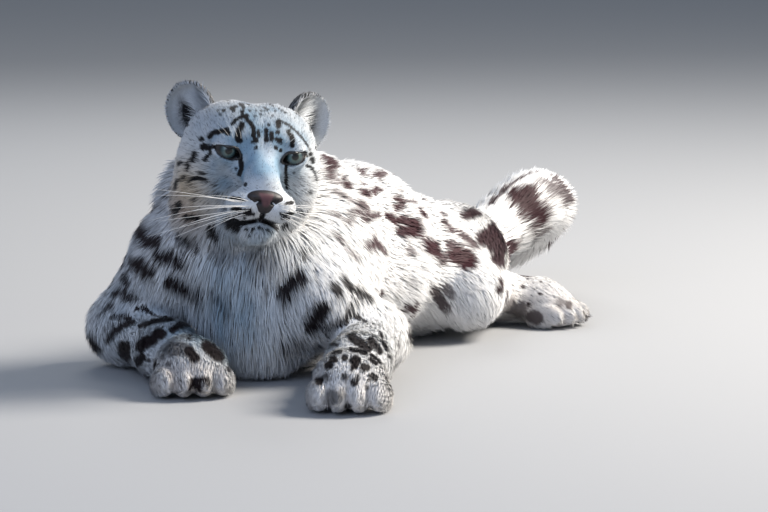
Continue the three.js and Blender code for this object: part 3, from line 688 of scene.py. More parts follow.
STROKES = {  # half width, darkness, then x and y of each point
    "face": [
        (1.9, 1, 209, 136.3, 213, 132.9, 220.4, 130.9, 227, 130.3, 227.7, 132.9),
        (1.3, 0.95, 232.4, 123.6, 235.1, 120.2, 239.1, 117.5), (2.1, 1, 242.5, 116.2, 245.8, 116.2),
        (1.5, 0.95, 247.1, 119.6, 250.5, 122.9, 253.2, 127.6, 253.8, 132.9),
        (2.3, 1, 241.8, 124.9, 239.1, 128.9, 238.4, 134.3, 239.1, 140.3), (1.2, 0.9, 258.5, 130.9, 258.9, 136.3),
        (1.6, 0.95, 253.2, 135.6), (2.1, 0.95, 255.2, 141), (1.2, 0.95, 252.2, 142.3), (1.5, 0.95, 255.8, 147.7),
        (1.3, 0.95, 280.6, 139.6), (1.5, 0.95, 275.9, 147.7), (1.2, 0.95, 280.6, 150.4), (1.1, 0.95, 268.6, 124.9),
        (1.5, 0.95, 242.5, 111.5), (1.6, 0.95, 277.9, 132.3), (1.7, 0.9, 266.2, 130.3, 265.9, 135.6, 266.6, 140.3),
        (1.6, 0.9, 271.5, 132.9, 271.5, 139.6), (2, 1, 278.6, 121.6, 278.6, 126),
        (1.6, 0.9, 276.6, 139.6, 279.9, 142.3), (1.9, 1, 288.7, 131.6, 291.3, 135.6, 292.7, 141, 292, 145),
        (0.9, 0.75, 282, 121.6, 288.7, 124.9, 296.7, 131.6, 302.7, 138.3, 308.7, 146.3, 310.3, 150.4),
        (1.7, 0.8, 223.7, 110.2), (2.1, 0.95, 232.4, 108.2), (1.6, 0.9, 235.4, 105.9), (1.3, 0.8, 233.7, 110.4),
        (2.3, 0.95, 241.8, 103.5), (1.7, 0.9, 243.8, 106.8), (1.2, 0.6, 249.8, 110.2), (1.3, 0.8, 272.6, 104.8),
        (1.3, 0.8, 279.3, 107.5), (1.2, 0.8, 282, 109.5), (1.2, 0.8, 285.3, 111.8), (1.3, 0.6, 260.5, 114.2),
        (0.9, 0.6, 256.5, 110.2), (1.1, 0.6, 261.2, 110.2), (1.3, 0.6, 228.4, 102.8), (1.2, 0.5, 217.7, 110.2),
        (1.2, 0.6, 251.2, 102.1), (1.3, 0.5, 220.4, 114.2), (1.1, 0.5, 264.5, 110.2), (1.1, 0.6, 275.3, 110.2),
        (1.1, 0.5, 255.2, 116.2), (1.1, 0.5, 272.6, 115.5), (1.2, 0.7, 257.9, 106.2),
        (1.2, 0.7, 264.5, 106.2, 267.9, 109.1), (2, 1, 200.9, 139), (2.4, 1, 202.7, 146.6, 208.6, 147.7),
        (1.3, 0.95, 209.6, 147.9, 216.3, 146.3), (2.4, 1, 194.6, 153.7, 192.9, 159.5),
        (1.5, 0.9, 209.9, 153, 204.3, 159.7), (1.7, 0.95, 187.5, 163.7, 186.9, 169.4),
        (1.6, 0.8, 180.2, 162.4, 178.2, 163.7), (1.5, 0.8, 184.2, 176.5, 182.2, 179.8),
        (1.9, 0.95, 175.9, 180.5, 174.6, 187.9), (1.6, 0.95, 188.9, 180.5, 193.6, 178.7, 198.9, 178.2, 205.6, 180.9),
        (1.1, 0.7, 212.3, 184.5, 215.3, 185.4), (1.3, 0.7, 200.3, 173.1, 203.6, 173.4),
        (1.9, 0.8, 166.8, 195.9, 168.8, 198.8), (2.9, 1, 178.2, 204.6, 176.2, 211.3),
        (2.7, 0.95, 185.5, 218.4, 190.9, 218, 196.2, 218.9), (2.1, 0.8, 148.7, 206.3, 150.7, 206.9),
        (3.2, 1, 210.3, 229.4, 211, 234.7, 215, 237.4), (2.7, 0.8, 178.8, 235.4, 185.5, 242.8, 193.6, 248.4),
        (1.3, 0.6, 192.2, 199.9, 194.9, 200.2), (1.2, 0.5, 196.9, 192.1), (1.3, 0.6, 215, 194.5, 220.4, 195.6),
        (1.1, 0.95, 225.7, 199.4, 232.4, 197.9, 239.1, 198.6, 243.1, 200.2),
        (1.5, 1, 225.7, 207.9, 233.7, 209.3, 241.8, 209.9, 250.1, 210.6),
        (1.2, 0.95, 227, 215.3, 236.4, 215.3, 243.4, 214.4), (1.1, 0.95, 245.8, 214, 253.8, 214),
        (0.9, 0.9, 244.7, 218.4), (4, 1, 227.7, 220.7, 231.7, 224.7, 235.8, 228),
        (1.2, 0.9, 286.6, 203.9, 292.7, 202.6), (1.2, 0.95, 280.6, 214, 287.3, 214.6, 294, 213.3),
        (1.1, 0.9, 282, 218, 288.7, 218.9), (2.4, 1, 285.3, 226, 283.6, 228), (3.5, 1, 294.7, 229.6),
        (2.1, 0.9, 306.7, 224.7), (1.5, 0.7, 314.1, 218), (1.1, 0.7, 300.7, 212, 304.7, 214.9), (1.3, 0.9, 246.5, 230),
        (1.6, 0.9, 253.8, 229.4), (0.9, 0.9, 255.8, 232.7), (1.1, 0.9, 249.8, 235.4), (1.1, 0.9, 259.2, 228),
        (0.9, 0.9, 262.5, 229.4), (0.9, 0.9, 265.9, 228.7), (0.8, 0.9, 268.8, 230.2), (0.9, 0.9, 271.9, 232.7),
        (0.8, 0.9, 263.9, 232.7), (1.7, 1, 240.2, 155.7, 241.1, 162.4, 241.4, 169.1, 238.8, 174.7),
        (1.2, 0.8, 236.4, 169.1), (1.6, 0.8, 245.1, 184.5),
        (1.2, 0.95, 286, 161.1, 286.2, 165.1, 285.7, 171.8, 286.6, 177.1, 286.4, 187.9), (2.3, 1, 312.8, 160.4),
        (1.6, 0.9, 310.8, 154.4), (1.1, 0.85, 307.4, 165.8, 312.8, 168.4, 315.4, 174.5, 316.8, 179.8),
        (1.1, 0.5, 294, 173.1), (1.7, 0.7, 310.1, 192.5), (2.1, 0.85, 302, 256.2, 307.4, 250.8, 312.8, 247),
        (1.9, 0.6, 284, 240.8), (1.3, 0.9, 305, 153, 308.1, 155.7),
    ],
    "flank": [
        (6.7, 0.9, 330.9, 154.9, 332.6, 159.5), (4.4, 0.8, 329.8, 169.8, 330.9, 176.7),
        (3, 1, 344.7, 175.6, 344.3, 181.3, 346.4, 184.5, 351.9, 184.2), (4.4, 0.9, 362.5, 164.7, 365.3, 170.1),
        (4.8, 0.75, 386, 167.6, 379.7, 173.3), (3.4, 0.85, 365.3, 181.6, 369.4, 180.8),
        (3.9, 0.9, 364.8, 190.5, 370.5, 193, 377.4, 189.4, 380.8, 185.9),
        (2.3, 0.5, 332.6, 190.5, 338.4, 191.7, 345.3, 196.3, 353.3, 200.3),
        (3.2, 0.7, 359, 202, 368.8, 204.5, 360.2, 210, 352.1, 213.5, 348.7, 220.9),
        (3.4, 0.75, 365.9, 217.1, 374, 214.8, 382, 212.6), (2.3, 0.5, 332.6, 212.3, 338.4, 216),
        (4.6, 1, 399.2, 205.4, 400.9, 199.7), (2.3, 0.75, 400.9, 198.3, 409.5, 199.7, 418.2, 200.3),
        (2.8, 0.5, 417.6, 206.6), (4.8, 0.95, 424.5, 210.6, 428.5, 212.6),
        (3.7, 0.95, 388.9, 214.6, 398.1, 220.6, 405, 219.2), (7.6, 1, 413.6, 227.8, 416.4, 227.2),
        (4.8, 0.85, 402.7, 230.7, 407.2, 231.8), (4.6, 0.8, 376.8, 239.9, 375.1, 243.9),
        (3.2, 0.75, 368.8, 246.2, 376.3, 243.3, 384.3, 246.8, 387.7, 251.1), (6.3, 1, 430.2, 245, 438.2, 248.5),
        (5.1, 0.75, 452, 245.6), (8.3, 1, 458.9, 255.9, 466.9, 258.8), (4.6, 0.7, 444, 259.4),
        (4.1, 0.6, 425.6, 191.7, 427.9, 195.1), (4.1, 0.65, 445.1, 211.2), (4.4, 0.8, 446.9, 220.4, 452, 227.8),
        (4.1, 0.75, 462.3, 231.8, 470.4, 239.9, 475, 243.9), (4.1, 0.55, 410.7, 251.9),
        (2.5, 0.6, 337.2, 235.3, 341.8, 241.6), (2.1, 0.4, 347.6, 250.2, 357.9, 257.3),
        (2.8, 0.3, 400.4, 188.4, 404.4, 189.6),
    ],
    "haunch": [
        (4.5, 0.4, 389.8, 290.2, 394, 301.4), (4.5, 0.7, 435.4, 291.6, 440.3, 300, 445.9, 307.7),
        (3.9, 0.55, 448.1, 288.8, 450.2, 295.1), (2.8, 0.4, 441.7, 330.8, 445.9, 335.3), (3.9, 0.2, 412.3, 283.1),
        (3.4, 0.2, 417.9, 330.8), (3.5, 1, 502.4, 278.2, 503.8, 285.2, 500.2, 290.2), (1.8, 0.9, 504.9, 271.2),
        (1.5, 0.8, 527.3, 278.2), (1.7, 0.8, 523.1, 286.6), (1.5, 0.8, 540, 293.7), (1, 0.8, 540.7, 281.7),
        # Painted shade: the last two strokes on this line and both on the next darken the coat under the toes of the
        # hind foot.
        (1.8, 0.8, 528.7, 304.9), (7, 0.45, 510.5, 307, 518.9, 309.8), (5.6, 0.6, 532.2, 316.8, 537.1, 318.2),
        (3.6, 0.6, 568.7, 304.9), (3.6, 0.35, 561, 302.8),
    ],
    "tail": [
        (9, 1, 518.6, 196.9, 529.8, 193.9), (10.7, 1, 529.8, 207.1, 539, 213.3),
        (3.1, 0.7, 531.8, 228.6, 536.9, 234.9), (6.7, 0.95, 484.9, 237.8, 497.1, 228.6, 501.2, 226.5),
        (8.6, 0.9, 497.1, 243.9, 507.3, 241.8), (7.1, 0.9, 500.2, 258.2, 505.3, 258.2),
        (4.7, 0.9, 466, 213.8, 477.8, 210.2), (3.5, 0.8, 505.3, 169.4, 515.5, 165.3, 528.8, 163.8),
        (4.5, 0.65, 547.1, 179.6, 555.3, 185.2, 562.4, 194.9, 566.5, 203.1), (2.9, 0.35, 536.9, 174.5),
        (3.4, 0.85, 489, 202, 500, 191, 512, 180, 524, 172, 538, 167),
        (4.6, 0.75, 556, 175, 566, 186, 573, 199, 575, 212), (3.5, 0.5, 541, 178, 549, 186, 553, 196),
        (5, 0.6, 548, 231, 538, 240),
    ],
    "left_leg": [
        (6.3, 1, 298.2, 279.7, 290.9, 287, 284.8, 294.2), (6.3, 0.95, 321.2, 310, 315.2, 318.5, 311.5, 325.8),
        (3.2, 0.8, 333.3, 285.8, 339.4, 293.6), (2.4, 0.8, 343, 277.3, 349.1, 287),
        (2.4, 0.85, 352.7, 289.4, 362.4, 291.8, 372.1, 299.1), (1.7, 0.7, 347.9, 310, 355.2, 301.5, 362.4, 297.9),
        (2.2, 0.9, 347.9, 315.5, 357.6, 316.7, 364.8, 319.1),
        (2.4, 0.95, 324.8, 330.6, 332.1, 325.8, 339.4, 323.3, 345.5, 322.1), (1, 0.6, 328.5, 337.9, 334.5, 336.4),
        (1.2, 0.8, 328.5, 344.2, 337, 344.4), (3.6, 1, 352.1, 336.1, 357.6, 341, 363.6, 345.1, 367.9, 347.5),
        (1.9, 1, 351.5, 348.7, 358.8, 349.9, 364.8, 352.7), (2.4, 1, 371.2, 339.7, 376.4, 345.1, 380, 350.7),
        (1.9, 0.85, 382.1, 333, 384.2, 341, 387.3, 348.3), (1.5, 0.9, 372.1, 353.9, 377, 358, 380.6, 362),
        (1.7, 0.9, 370.9, 358.8, 375.8, 362.8), (1.2, 0.6, 389.1, 355.6, 391.5, 358),
        (1.9, 0.8, 318.8, 347.1, 316.4, 349.9), (1.6, 0.85, 333.3, 351.9, 339.4, 351.5), (2.9, 1, 333, 359),
        (2.2, 1, 344.5, 357.2), (3.8, 1, 355.2, 360.4), (2.3, 1, 354.5, 365.8), (3.2, 1, 365.5, 367.3),
        (3, 0.9, 328.5, 364.9), (1.7, 0.7, 316.4, 360.4), (1.2, 0.6, 315.2, 366.9), (1.1, 0.8, 351.5, 369.3),
        (1.5, 0.8, 357.6, 376.6), (2.1, 0.7, 344.2, 376.6), (2.9, 0.9, 318.8, 380.6), (2.7, 0.5, 326.1, 376.6),
        (2.7, 0.9, 354.5, 382.2), (1.1, 0.6, 368.5, 380.6), (1.5, 0.6, 367.3, 387.1), (2.4, 0.7, 347.9, 406.5),
        (5.6, 0.45, 333.3, 397.6), (3.6, 0.35, 340.6, 394.4), (2.1, 0.9, 371.8, 375.4, 375.2, 377.8),
    ],
    "right_leg": [
        (5.1, 1, 159.8, 256, 171, 258.8, 182.2, 264), (5.1, 1, 170.3, 283.3, 182.2, 288.9, 192.1, 294.5, 196.3, 298.5),
        (2.8, 0.8, 145.8, 241.2, 154.2, 240.5), (4.2, 0.9, 139.5, 266.5, 148.6, 272.1),
        (2.5, 0.7, 129.6, 259.5, 131, 263.7), (3.1, 0.85, 122.6, 277.7, 126.1, 280.8),
        (2.7, 0.85, 113.5, 294.5, 116.3, 292, 123.3, 291.7), (2.8, 0.9, 124.7, 298.1, 133.1, 297.3),
        (2.2, 0.8, 105.1, 308.6, 110.7, 306.5), (1.8, 0.9, 111.4, 317, 119.1, 316.2, 128.9, 317),
        (1.7, 0.95, 137.3, 308.6, 144.4, 309.3, 152.8, 312.8, 161.2, 314.9, 171, 315.6),
        (2.8, 0.95, 140.2, 324, 148.6, 321.2, 159.8, 318.7, 170.3, 317),
        (2.4, 0.9, 106.5, 340.8, 113.5, 332.4, 121.9, 325.4, 131.7, 321.2), (1.4, 0.5, 105.1, 328.2, 112.1, 325.4),
        (5.3, 1, 89.6, 342.2, 93.2, 349.3), (5.6, 1, 123.3, 348.6, 123, 359.1),
        (4.5, 1, 140.9, 345.8, 148.6, 340.8, 159.8, 334.1), (2.5, 1, 173.1, 329.6, 179.4, 324.7, 187.9, 323.3),
        (3.1, 0.9, 135.9, 363.3, 141.6, 357.7), (1.5, 0.6, 98.1, 317),
        (4.5, 1, 208.2, 345.1, 215.2, 352.1, 218.7, 354.9), (3.4, 0.9, 189.3, 350.7, 194.2, 358),
        (5.3, 0.5, 171, 349.3, 182.2, 349.3), (1.5, 0.8, 190.7, 333.8), (1.3, 0.7, 189.3, 338),
        (2.1, 0.5, 203.3, 333.8), (1.3, 0.7, 215.9, 329.6), (2.1, 0.6, 230, 368.9), (1.4, 0.7, 148.6, 360.5),
        (1.7, 0.5, 210.3, 336.6), (2, 0.4, 162.6, 356.3), (1.7, 0.4, 168.2, 364.7),
        (1.1, 0.8, 231.4, 341.5, 237, 345.3), (0.7, 0.45, 199.1, 283.3, 207.5, 297.3, 214.5, 314.2),
        (1.5, 0.5, 211.7, 291.7, 218.7, 303, 225.7, 315.6), (1.3, 0.45, 266.4, 284.7, 266.4, 291.7),
        (1.3, 0.35, 255.2, 303, 253.8, 308.6), (3.9, 0.55, 182.2, 241.9, 193.5, 247.5),
        (3.1, 0.35, 210.3, 256.7, 221.5, 260.9),
    ],
    "neck": [
        (5.5, 0.9, 137.4, 227.4, 140.5, 232.6), (3.6, 0.7, 148.9, 204.8, 151.1, 207.4),
        (5.1, 0.85, 145.8, 240.6, 154.2, 241.5), (6.3, 0.85, 138.4, 265.3, 146.8, 271.6),
        # Painted shade: the first two strokes on this line darken the throat under the chin.
        (6.3, 0.25, 215.3, 253.7, 230, 257.9), (5.5, 0.3, 251.1, 262.1, 272.1, 264.2),
        (7.2, 0.35, 288.9, 349.5, 296.3, 347.4), (2.9, 0.3, 222.6, 297.9, 226.8, 310.5),
    ],
}
EDGE_PX = 0.35
SWELL = {"flank": 1.4, "haunch": 1.3, "tail": 1.4, "neck": 1.4, "right_leg": 1.45, "left_leg": 1.4, "face": 1.25}
BROWN = {"flank": 1.0, "haunch": 0.6, "tail": 0.7, "neck": 0.25, "right_leg": 0.15, "left_leg": 0.1, "face": 0.0}
for area, rows in STROKES.items():
    for half, dark, *points in rows:
        places = [p for p in map(seen, points[::2], points[1::2]) if p is not None]
        if places:
            dab_along(places, (half * SWELL[area] + EDGE_PX) / px_per_mm, dark, BROWN[area])
print(len(dabs), "dabs from the picture")

# %% [markdown]
# The side away from the picture gets marks of the kind that the species has there: broken rings on the trunk and hind
# legs, solid spots on the forelegs, small ones on the head, and blotches on the tail. Each keeps its distance from
# those already set.

# %% Marks where the picture doesn't show the coat
KINDS = {  # spacing, ring radius, blotch half width, brownness
    "trunk": (74, 21, 8.5, 0.8), "tail": (66, 0, 17, 0.8), "head": (19, 0, 3.6, 0.1),
    "right_fore": (36, 0, 7.5, 0.2), "left_fore": (36, 0, 7.5, 0.2),
    "right_hind": (50, 12, 8, 0.5), "left_hind": (50, 12, 8, 0.5)}
PLACES_TRIED = 9000
ARCS = 5  # in a ring
names = list(masses)
part_names = list(KINDS)


def part_of(p):
    """The part of the body nearest to each point, as a number."""
    f = each_mass(p)
    nearest = np.argmin(np.stack([f[name] for name in names]), axis=0)
    return np.array([part_names.index(masses[name]["part"]) for name in names])[nearest]


def hidden(place, normal):
    """Whether the camera can't see a place on the coat."""
    to_camera = unit(cam_at - place)
    if to_camera @ normal < 0.12:
        return True
    hit, _, _, _ = coat_tree.ray_cast(Vector(place + normal * 6), Vector(to_camera))
    return hit is not None


def onto_coat(place):
    hit, normal, _, _ = coat_tree.find_nearest(Vector(place))
    return np.concatenate([hit, normal])


order = chance.permutation(len(skin_points))[:PLACES_TRIED]
part_there = part_of(skin_points[order])
taken = np.array([d[:3] for d in dabs])
seats = []
for index, part in zip(order, part_there):
    place, normal = coat_points[index], skin_normals[index]
    spacing, ring, half, brown = KINDS[part_names[part]]
    q = to_head(place)
    if part_names[part] == "head" and q[1] < -30 or normal[2] < -0.5 and place[2] < 40:
        continue
    near_seen = np.min(np.linalg.norm(taken - place, axis=1)) < spacing * 0.62
    near_set = any(np.linalg.norm(place - seat) < max(spacing, other) * 0.9 for seat, other in seats)
    if near_seen or near_set or not hidden(place, normal):
        continue
    seats.append((place, spacing))
    size = chance.uniform(0.8, 1.2)
    if not ring:
        drift = unit(np.cross(normal, chance.normal(size=3))) * half * chance.uniform(0.2, 0.8)
        dab_along([onto_coat(place - drift), onto_coat(place + drift)], half * size, 1.0, brown)
        continue
    side = unit(np.cross(normal, vec(0.1, 0.2, 1)))
    up = np.cross(side, normal)
    start_angle = chance.uniform(0, 2 * math.pi)
    for n in range(ARCS):
        if chance.random() < 0.16:
            continue
        angle = start_angle + n * 2 * math.pi / ARCS + chance.normal(0, 0.12)
        arc = [angle - 0.25, angle + 0.3]
        arc = [onto_coat(place + ring * size * (side * math.cos(a) + 0.8 * up * math.sin(a))) for a in arc]
        dab_along(arc, half * size * chance.uniform(0.75, 1.15), chance.uniform(0.75, 1), brown)
dabs = np.array(dabs)
print(len(seats), "marks more,", len(dabs), "dabs in all")

# %% [markdown]
# The edge of each mark is broken by waves of chance that run through the whole coat, since real spots are never
# round. A dab counts by its distance from its axis, so it reaches through the coat to the skin, and ends some way
# along.

# %% How dark and how brown the coat is at a point
def wave(p, size, shift=0.0):
    """A smooth field of chance between -1 and 1, about size millimetres from crest to crest."""
    q = p * (2 * math.pi / size)
    total = np.sin(q[:, 0] + 1.7 * np.sin(q[:, 1] * 0.7 + shift))
    total += np.sin(q[:, 1] * 1.1 + 1.5 * np.sin(q[:, 2] * 0.8 + 2 + shift))
    total += np.sin(q[:, 2] * 1.2 + 1.6 * np.sin(q[:, 0] * 0.9 + 4 + shift))
    return total / 3


DAB_REACH, DAB_REACH_SHARE = 10, 1.5  # how far a dab goes along its axis: millimetres, and half widths on top


def marks_at(p):
    order = np.argsort(p[:, 1])
    q = p[order]
    ragged = 0.2 * wave(q, 17) + 0.14 * wave(q, 8, 1.0)
    dark, brown = np.zeros(len(q)), np.zeros(len(q))
    for x, y, z, *axis, half, strength, brownness in dabs:
        reach = DAB_REACH + DAB_REACH_SHARE * half
        low, high = np.searchsorted(q[:, 1], (y - reach, y + reach))
        off = q[low:high] - (x, y, z)
        along = off @ axis
        away = np.sqrt(np.maximum((off ** 2).sum(1) - 0.97 * along ** 2, 0)) / half
        here = fade(1.12 - away - ragged[low:high], 0, 0.3) * strength * fade(np.abs(along), reach, -6)
        stronger = here > dark[low:high]
        dark[low:high][stronger] = here[stronger]
        brown[low:high][stronger] = brownness
    back = np.empty(len(order), int)
    back[order] = np.arange(len(order))
    return 1 - (1 - dark[back]) ** 2, brown[back]  # the eye takes an even mix of white and black for a pale grey


# %% [markdown]
# The ground of the coat is white, tinted in patches: its own smoky grey on the crown and back, cream on the cheeks and
# tan on the toes. Painted shade goes into the same tints: a cool blue on the bridge of the nose, the face, the chest,
# the forelegs and the back of the tail, and grey on the throat and the right of the neck and shoulder. The stronger
# cream and tan on the right cheek and jaw are partly painted warm reflected light.

# %% Tints of the ground coat
# Painted light: the cool blue patches here are painted shade on the bridge, brow, face, under both eyes and under the
# chin. The strong cream on the right cheek and the tan on the right of the jaw are partly the coat's own warm tone and
# partly painted warm reflected light. The weak cream on the left cheek is the coat's own.
HEAD_TINTS = [  # tint, place and reach in the head's frame, amount
    ("blue_shade", vec(0, -84, -8), vec(17, 32, 20), 0.6), ("grey", vec(0, -14, 58), vec(70, 60, 32), 0.75),
    ("blue_shade", vec(0, -50, 30), vec(66, 56, 40), 0.5), ("blue_shade", vec(0, -60, 0), vec(90, 70, 90), 0.5),
    ("blue_shade", vec(30, -74, -16), vec(14, 20, 10), 0.5),
    ("blue_shade", vec(-36, -60, -16), vec(22, 26, 20), 0.35), ("cream", vec(-70, -26, -36), vec(34, 48, 36), 1.0),
    ("cream", vec(58, 6, -36), vec(24, 34, 30), 0.3), ("tan", vec(-64, 10, -62), vec(34, 34, 30), 0.6),
    ("grey", vec(0, 60, 20), vec(80, 50, 70), 0.45), ("blue_shade", vec(0, -92, -76), vec(24, 24, 14), 0.35)]
# Painted shade: the cool blue patches, on the chest, the right forepaw, down both forelegs and over the back of the
# tail, are painted shade. So is the grey on the throat and on the right of the neck and shoulder. The grey along the
# back is the coat's own smoky grey, and the tan on the toes is their own colour.
BODY_TINTS = [  # tint, place and reach, amount
    ("blue_shade", vec(20, -150, 90), vec(80, 60, 100), 0.75), ("grey", vec(0, -130, 176), vec(70, 40, 24), 0.5),
    ("grey", vec(-80, 20, 230), vec(60, 90, 80), 0.6), ("grey", vec(10, 180, 250), vec(60, 260, 46), 0.4),
    ("grey", vec(-130, -60, 140), vec(60, 80, 90), 0.55), ("blue_shade", vec(-120, -60, 60), vec(70, 90, 60), 0.5),
    ("tan", vec(206, -214, 20), vec(50, 40, 26), 0.5), ("tan", vec(6, -214, 20), vec(56, 40, 28), 0.55),
    ("blue_shade", vec(190, -120, 70), vec(60, 90, 60), 0.2), ("tan", vec(136, 470, 22), vec(70, 60, 30), 0.35),
    ("grey", vec(-20, 330, 170), vec(90, 120, 40), 0.35), ("blue_shade", vec(30, 720, 190), vec(80, 90, 40), 0.3),
    ("blue_shade", vec(6, -170, 60), vec(70, 60, 50), 0.35)]
TINTS = ["grey", "cream", "blue_shade", "tan"]


def tints_and_shade_at(p):
    """How much of each tint the ground coat has at points, painted shade and painted warm reflected light included."""
    q = to_head(p)
    total = {tint: np.zeros(len(p)) for tint in TINTS}
    for rows, place_of in ((HEAD_TINTS, q), (BODY_TINTS, p)):
        for tint, place, reach, amount in rows:
            total[tint] += amount * soft_patch(place_of, place, reach)
    broken = 1 + 0.35 * wave(p, 38, 3.0)
    return np.stack([np.clip(total[tint] * broken, 0, 1) for tint in TINTS], axis=1)


# %% [markdown]
# The skin is black along the lips, most at the corners of the mouth, up the groove to the nose, and between the lids.

# %% Black of the lips and lids
def lips_at(p):
    """How black points are that lie on the lips, in the groove or between the lids."""
    q = to_head(p)
    front = fade(q[:, 1], -46, -8)
    away, _ = away_from_line(q[:, [0, 2]], MOUTH)
    line = fade(4.0 + 4.5 * np.clip(np.abs(q[:, 0]) / 38, 0, 1.1) ** 3 - away, 0, 1.4)
    groove = fade(np.abs(q[:, 0]), 4.0, -1.2) * (q[:, 2] < -44) * (q[:, 2] > -61)
    lids = np.maximum(*[fade(eye_opening(q, s), 2.3, -1.1) for s in (1, -1)]) * (q[:, 1] < -38)
    return np.maximum(front * np.maximum(line, groove), lids)


# %% [markdown]
# Each tuft leaves the skin at an angle and bends over to lie along the body. Its lie is a mix of those of the masses
# near it. Neighbours lean together into clumps, and slow waves turn whole patches a little, as in fur that has been
# slept in.

# %% Lie of the coat
def lie_at(p, normal):
    """The way the coat lies at points, along the skin."""
    f = each_mass(p)
    lie = np.zeros((len(p), 3))
    from_nose = way_from_head(unit(to_head(p) - vec(0, -112, -33)))
    for name, row in masses.items():
        weight = np.where(f[name] < 70, np.exp(-np.clip(f[name], -4, 70) / 13), 0)
        lie += weight[:, None] * (from_nose if row["lie"] is None else unit(row["lie"]))
    return unit(lie - normal * (lie * normal).sum(1, keepdims=True))


# %% Spread roots over a surface
def face_areas(points, triangles):
    a, b, c = (points[triangles[:, n]] for n in range(3))
    return np.linalg.norm(np.cross(b - a, c - a), axis=1) / 2


def nearest_of(points, asked):
    """For each point asked about, the number of the one of the points nearest to it."""
    tree = KDTree(len(points))
    for n, p in enumerate(points):
        tree.insert(Vector(p), n)
    tree.balance()
    return np.array([tree.find(Vector(p))[1] for p in asked])


def scatter(points, triangles, normals, density):
    """Roots on a mesh, with so many for each square millimetre near each of its points, and the normal at each."""
    run = np.cumsum(face_areas(points, triangles) * density[triangles].mean(1))
    count = int(run[-1])
    pick = np.searchsorted(run, (np.arange(count) + chance.random(count)) / count * run[-1] * 0.999999)
    mix = chance.random((count, 2))
    mix = np.where(mix.sum(1, keepdims=True) > 1, 1 - mix, mix)
    shares = np.stack([1 - mix.sum(1), mix[:, 0], mix[:, 1]], axis=1)[..., None]
    return (points[triangles[pick]] * shares).sum(1), unit((normals[triangles[pick]] * shares).sum(1))


# %% Comb the tufts
LEADERS = 8  # one tuft in so many is leaned on by its neighbours


def comb(roots, out, lie, hair, wide, lift, sink=0.8, clump=0.32):
    """Start, middle and tip of each tuft, with the way across it and its half width."""
    turn = np.radians(9 * wave(roots, 70, 2.0) + chance.normal(0, 8, len(roots)))[:, None]
    lie = lie * np.cos(turn) + np.cross(out, lie) * np.sin(turn)
    long = (hair * (1 + 0.12 * wave(roots, 45, 3.0)) * chance.uniform(0.72, 1.2, len(roots)))[:, None]
    rise = np.radians(lift + chance.normal(0, 4, len(roots)))[:, None]
    start = roots - out * sink
    middle = start + (lie * np.cos(rise + 0.2) + out * np.sin(rise + 0.2)) * long * 0.46
    tip = middle + (lie * np.cos(rise - 0.12) + out * np.sin(rise - 0.12)) * long * 0.54
    near = LEADERS * nearest_of(roots[::LEADERS], roots)
    lean = np.where(np.linalg.norm(tip[near] - tip, axis=1) < hair * 0.7, clump, 0)[:, None]
    tip = tip + (tip[near] - tip) * lean
    middle = middle + (middle[near] - middle) * lean * 0.35
    for points in (middle, tip):
        points[:, 2] = np.maximum(points[:, 2], FLOOR_CLEAR + 0.4)
    half = (wide * chance.uniform(0.75, 1.2, len(roots)) / 2)[:, None]
    return dict(out=out, across=np.cross(out, lie), start=start, middle=middle, tip=tip, half=half)


# %% [markdown]
# Roots are spread by area, more where tufts are short and narrow, so the same number of layers covers the skin
# everywhere, and with fewer layers on the face, where the fur lies flat and the skin shows its colour through it.
# None grow in the eyes, in the mouth, under the nose leather or where the body presses on the floor.

# %% Grow the coat of the body
LAYERS = 6.0
MOST_TUFTS = 228_000
NOSE_FORMS = [ball(vec(0, -111.5, -33), vec(21, 8, 9)), ball(vec(0, -111.5, -40), vec(11, 8, 11))]


def nose_leather(q):
    return soften(NOSE_FORMS[0](q), NOSE_FORMS[1](q), 6)


skin_traits = near_masses(skin_points, ["hair", "wide", "lift"])
density = LAYERS * np.clip(skin_traits["hair"] / 22, 0.35, 1) / (0.5 * skin_traits["hair"] * skin_traits["wide"])
density *= np.where((skin_normals[:, 2] < -0.55) & (skin_points[:, 2] < 30), 0.35, 1)
area = face_areas(skin_points, skin_triangles)
thinned = min(1, MOST_TUFTS / (area * density[skin_triangles].mean(1)).sum())
density *= thinned
roots, out = scatter(skin_points, skin_triangles, skin_normals, density)
q = to_head(roots)
away, _ = away_from_line(q[:, [0, 2]], MOUTH)
bare = (roots[:, 2] < 7) & (out[:, 2] < -0.6) | (away < 1.4) & (q[:, 1] < -62) | (nose_leather(q) < 0.6)
bare |= (np.abs(q[:, 0]) < 0.9) & (q[:, 1] < -90) & (q[:, 2] < -44) & (q[:, 2] > -60)
for s in (1, -1):
    bare |= (eye_opening(q, s) < 1.4) & (q[:, 1] < -45)
roots, out = roots[~bare], out[~bare]
traits = near_masses(roots, ["hair", "wide", "lift"])
sleek = np.clip(out[:, 2], 0, 1) * (roots[:, 1] > 20)
hair, lift = traits["hair"] * (1 - 0.3 * sleek), traits["lift"] * (1 - 0.4 * sleek)
coat = comb(roots, out, lie_at(roots, out), hair, traits["wide"], lift)
print(len(roots), "tufts on", round(area.sum() / 1e6, 2), "square metres of skin, thinned to", round(thinned, 2))

# %% [markdown]
# What colours a tuft is taken twice, at its middle and close to its tip, so that a spot lies where it does on the
# animal and not a hair's length further back. A few tufts are darker, as guard hairs are, which gives the grizzled
# look.

# %% Colour masks
PEPPER = {  # share of dark guard hairs
    "trunk": 0.025, "tail": 0.03, "head": 0.12,
    "right_fore": 0.12, "left_fore": 0.05, "right_hind": 0.10, "left_hind": 0.10}


def store(mesh, name, values):
    attribute = mesh.attributes.new(name, "FLOAT_VECTOR", "POINT")
    attribute.data.foreach_set("vector", np.ascontiguousarray(values, np.float32).ravel())


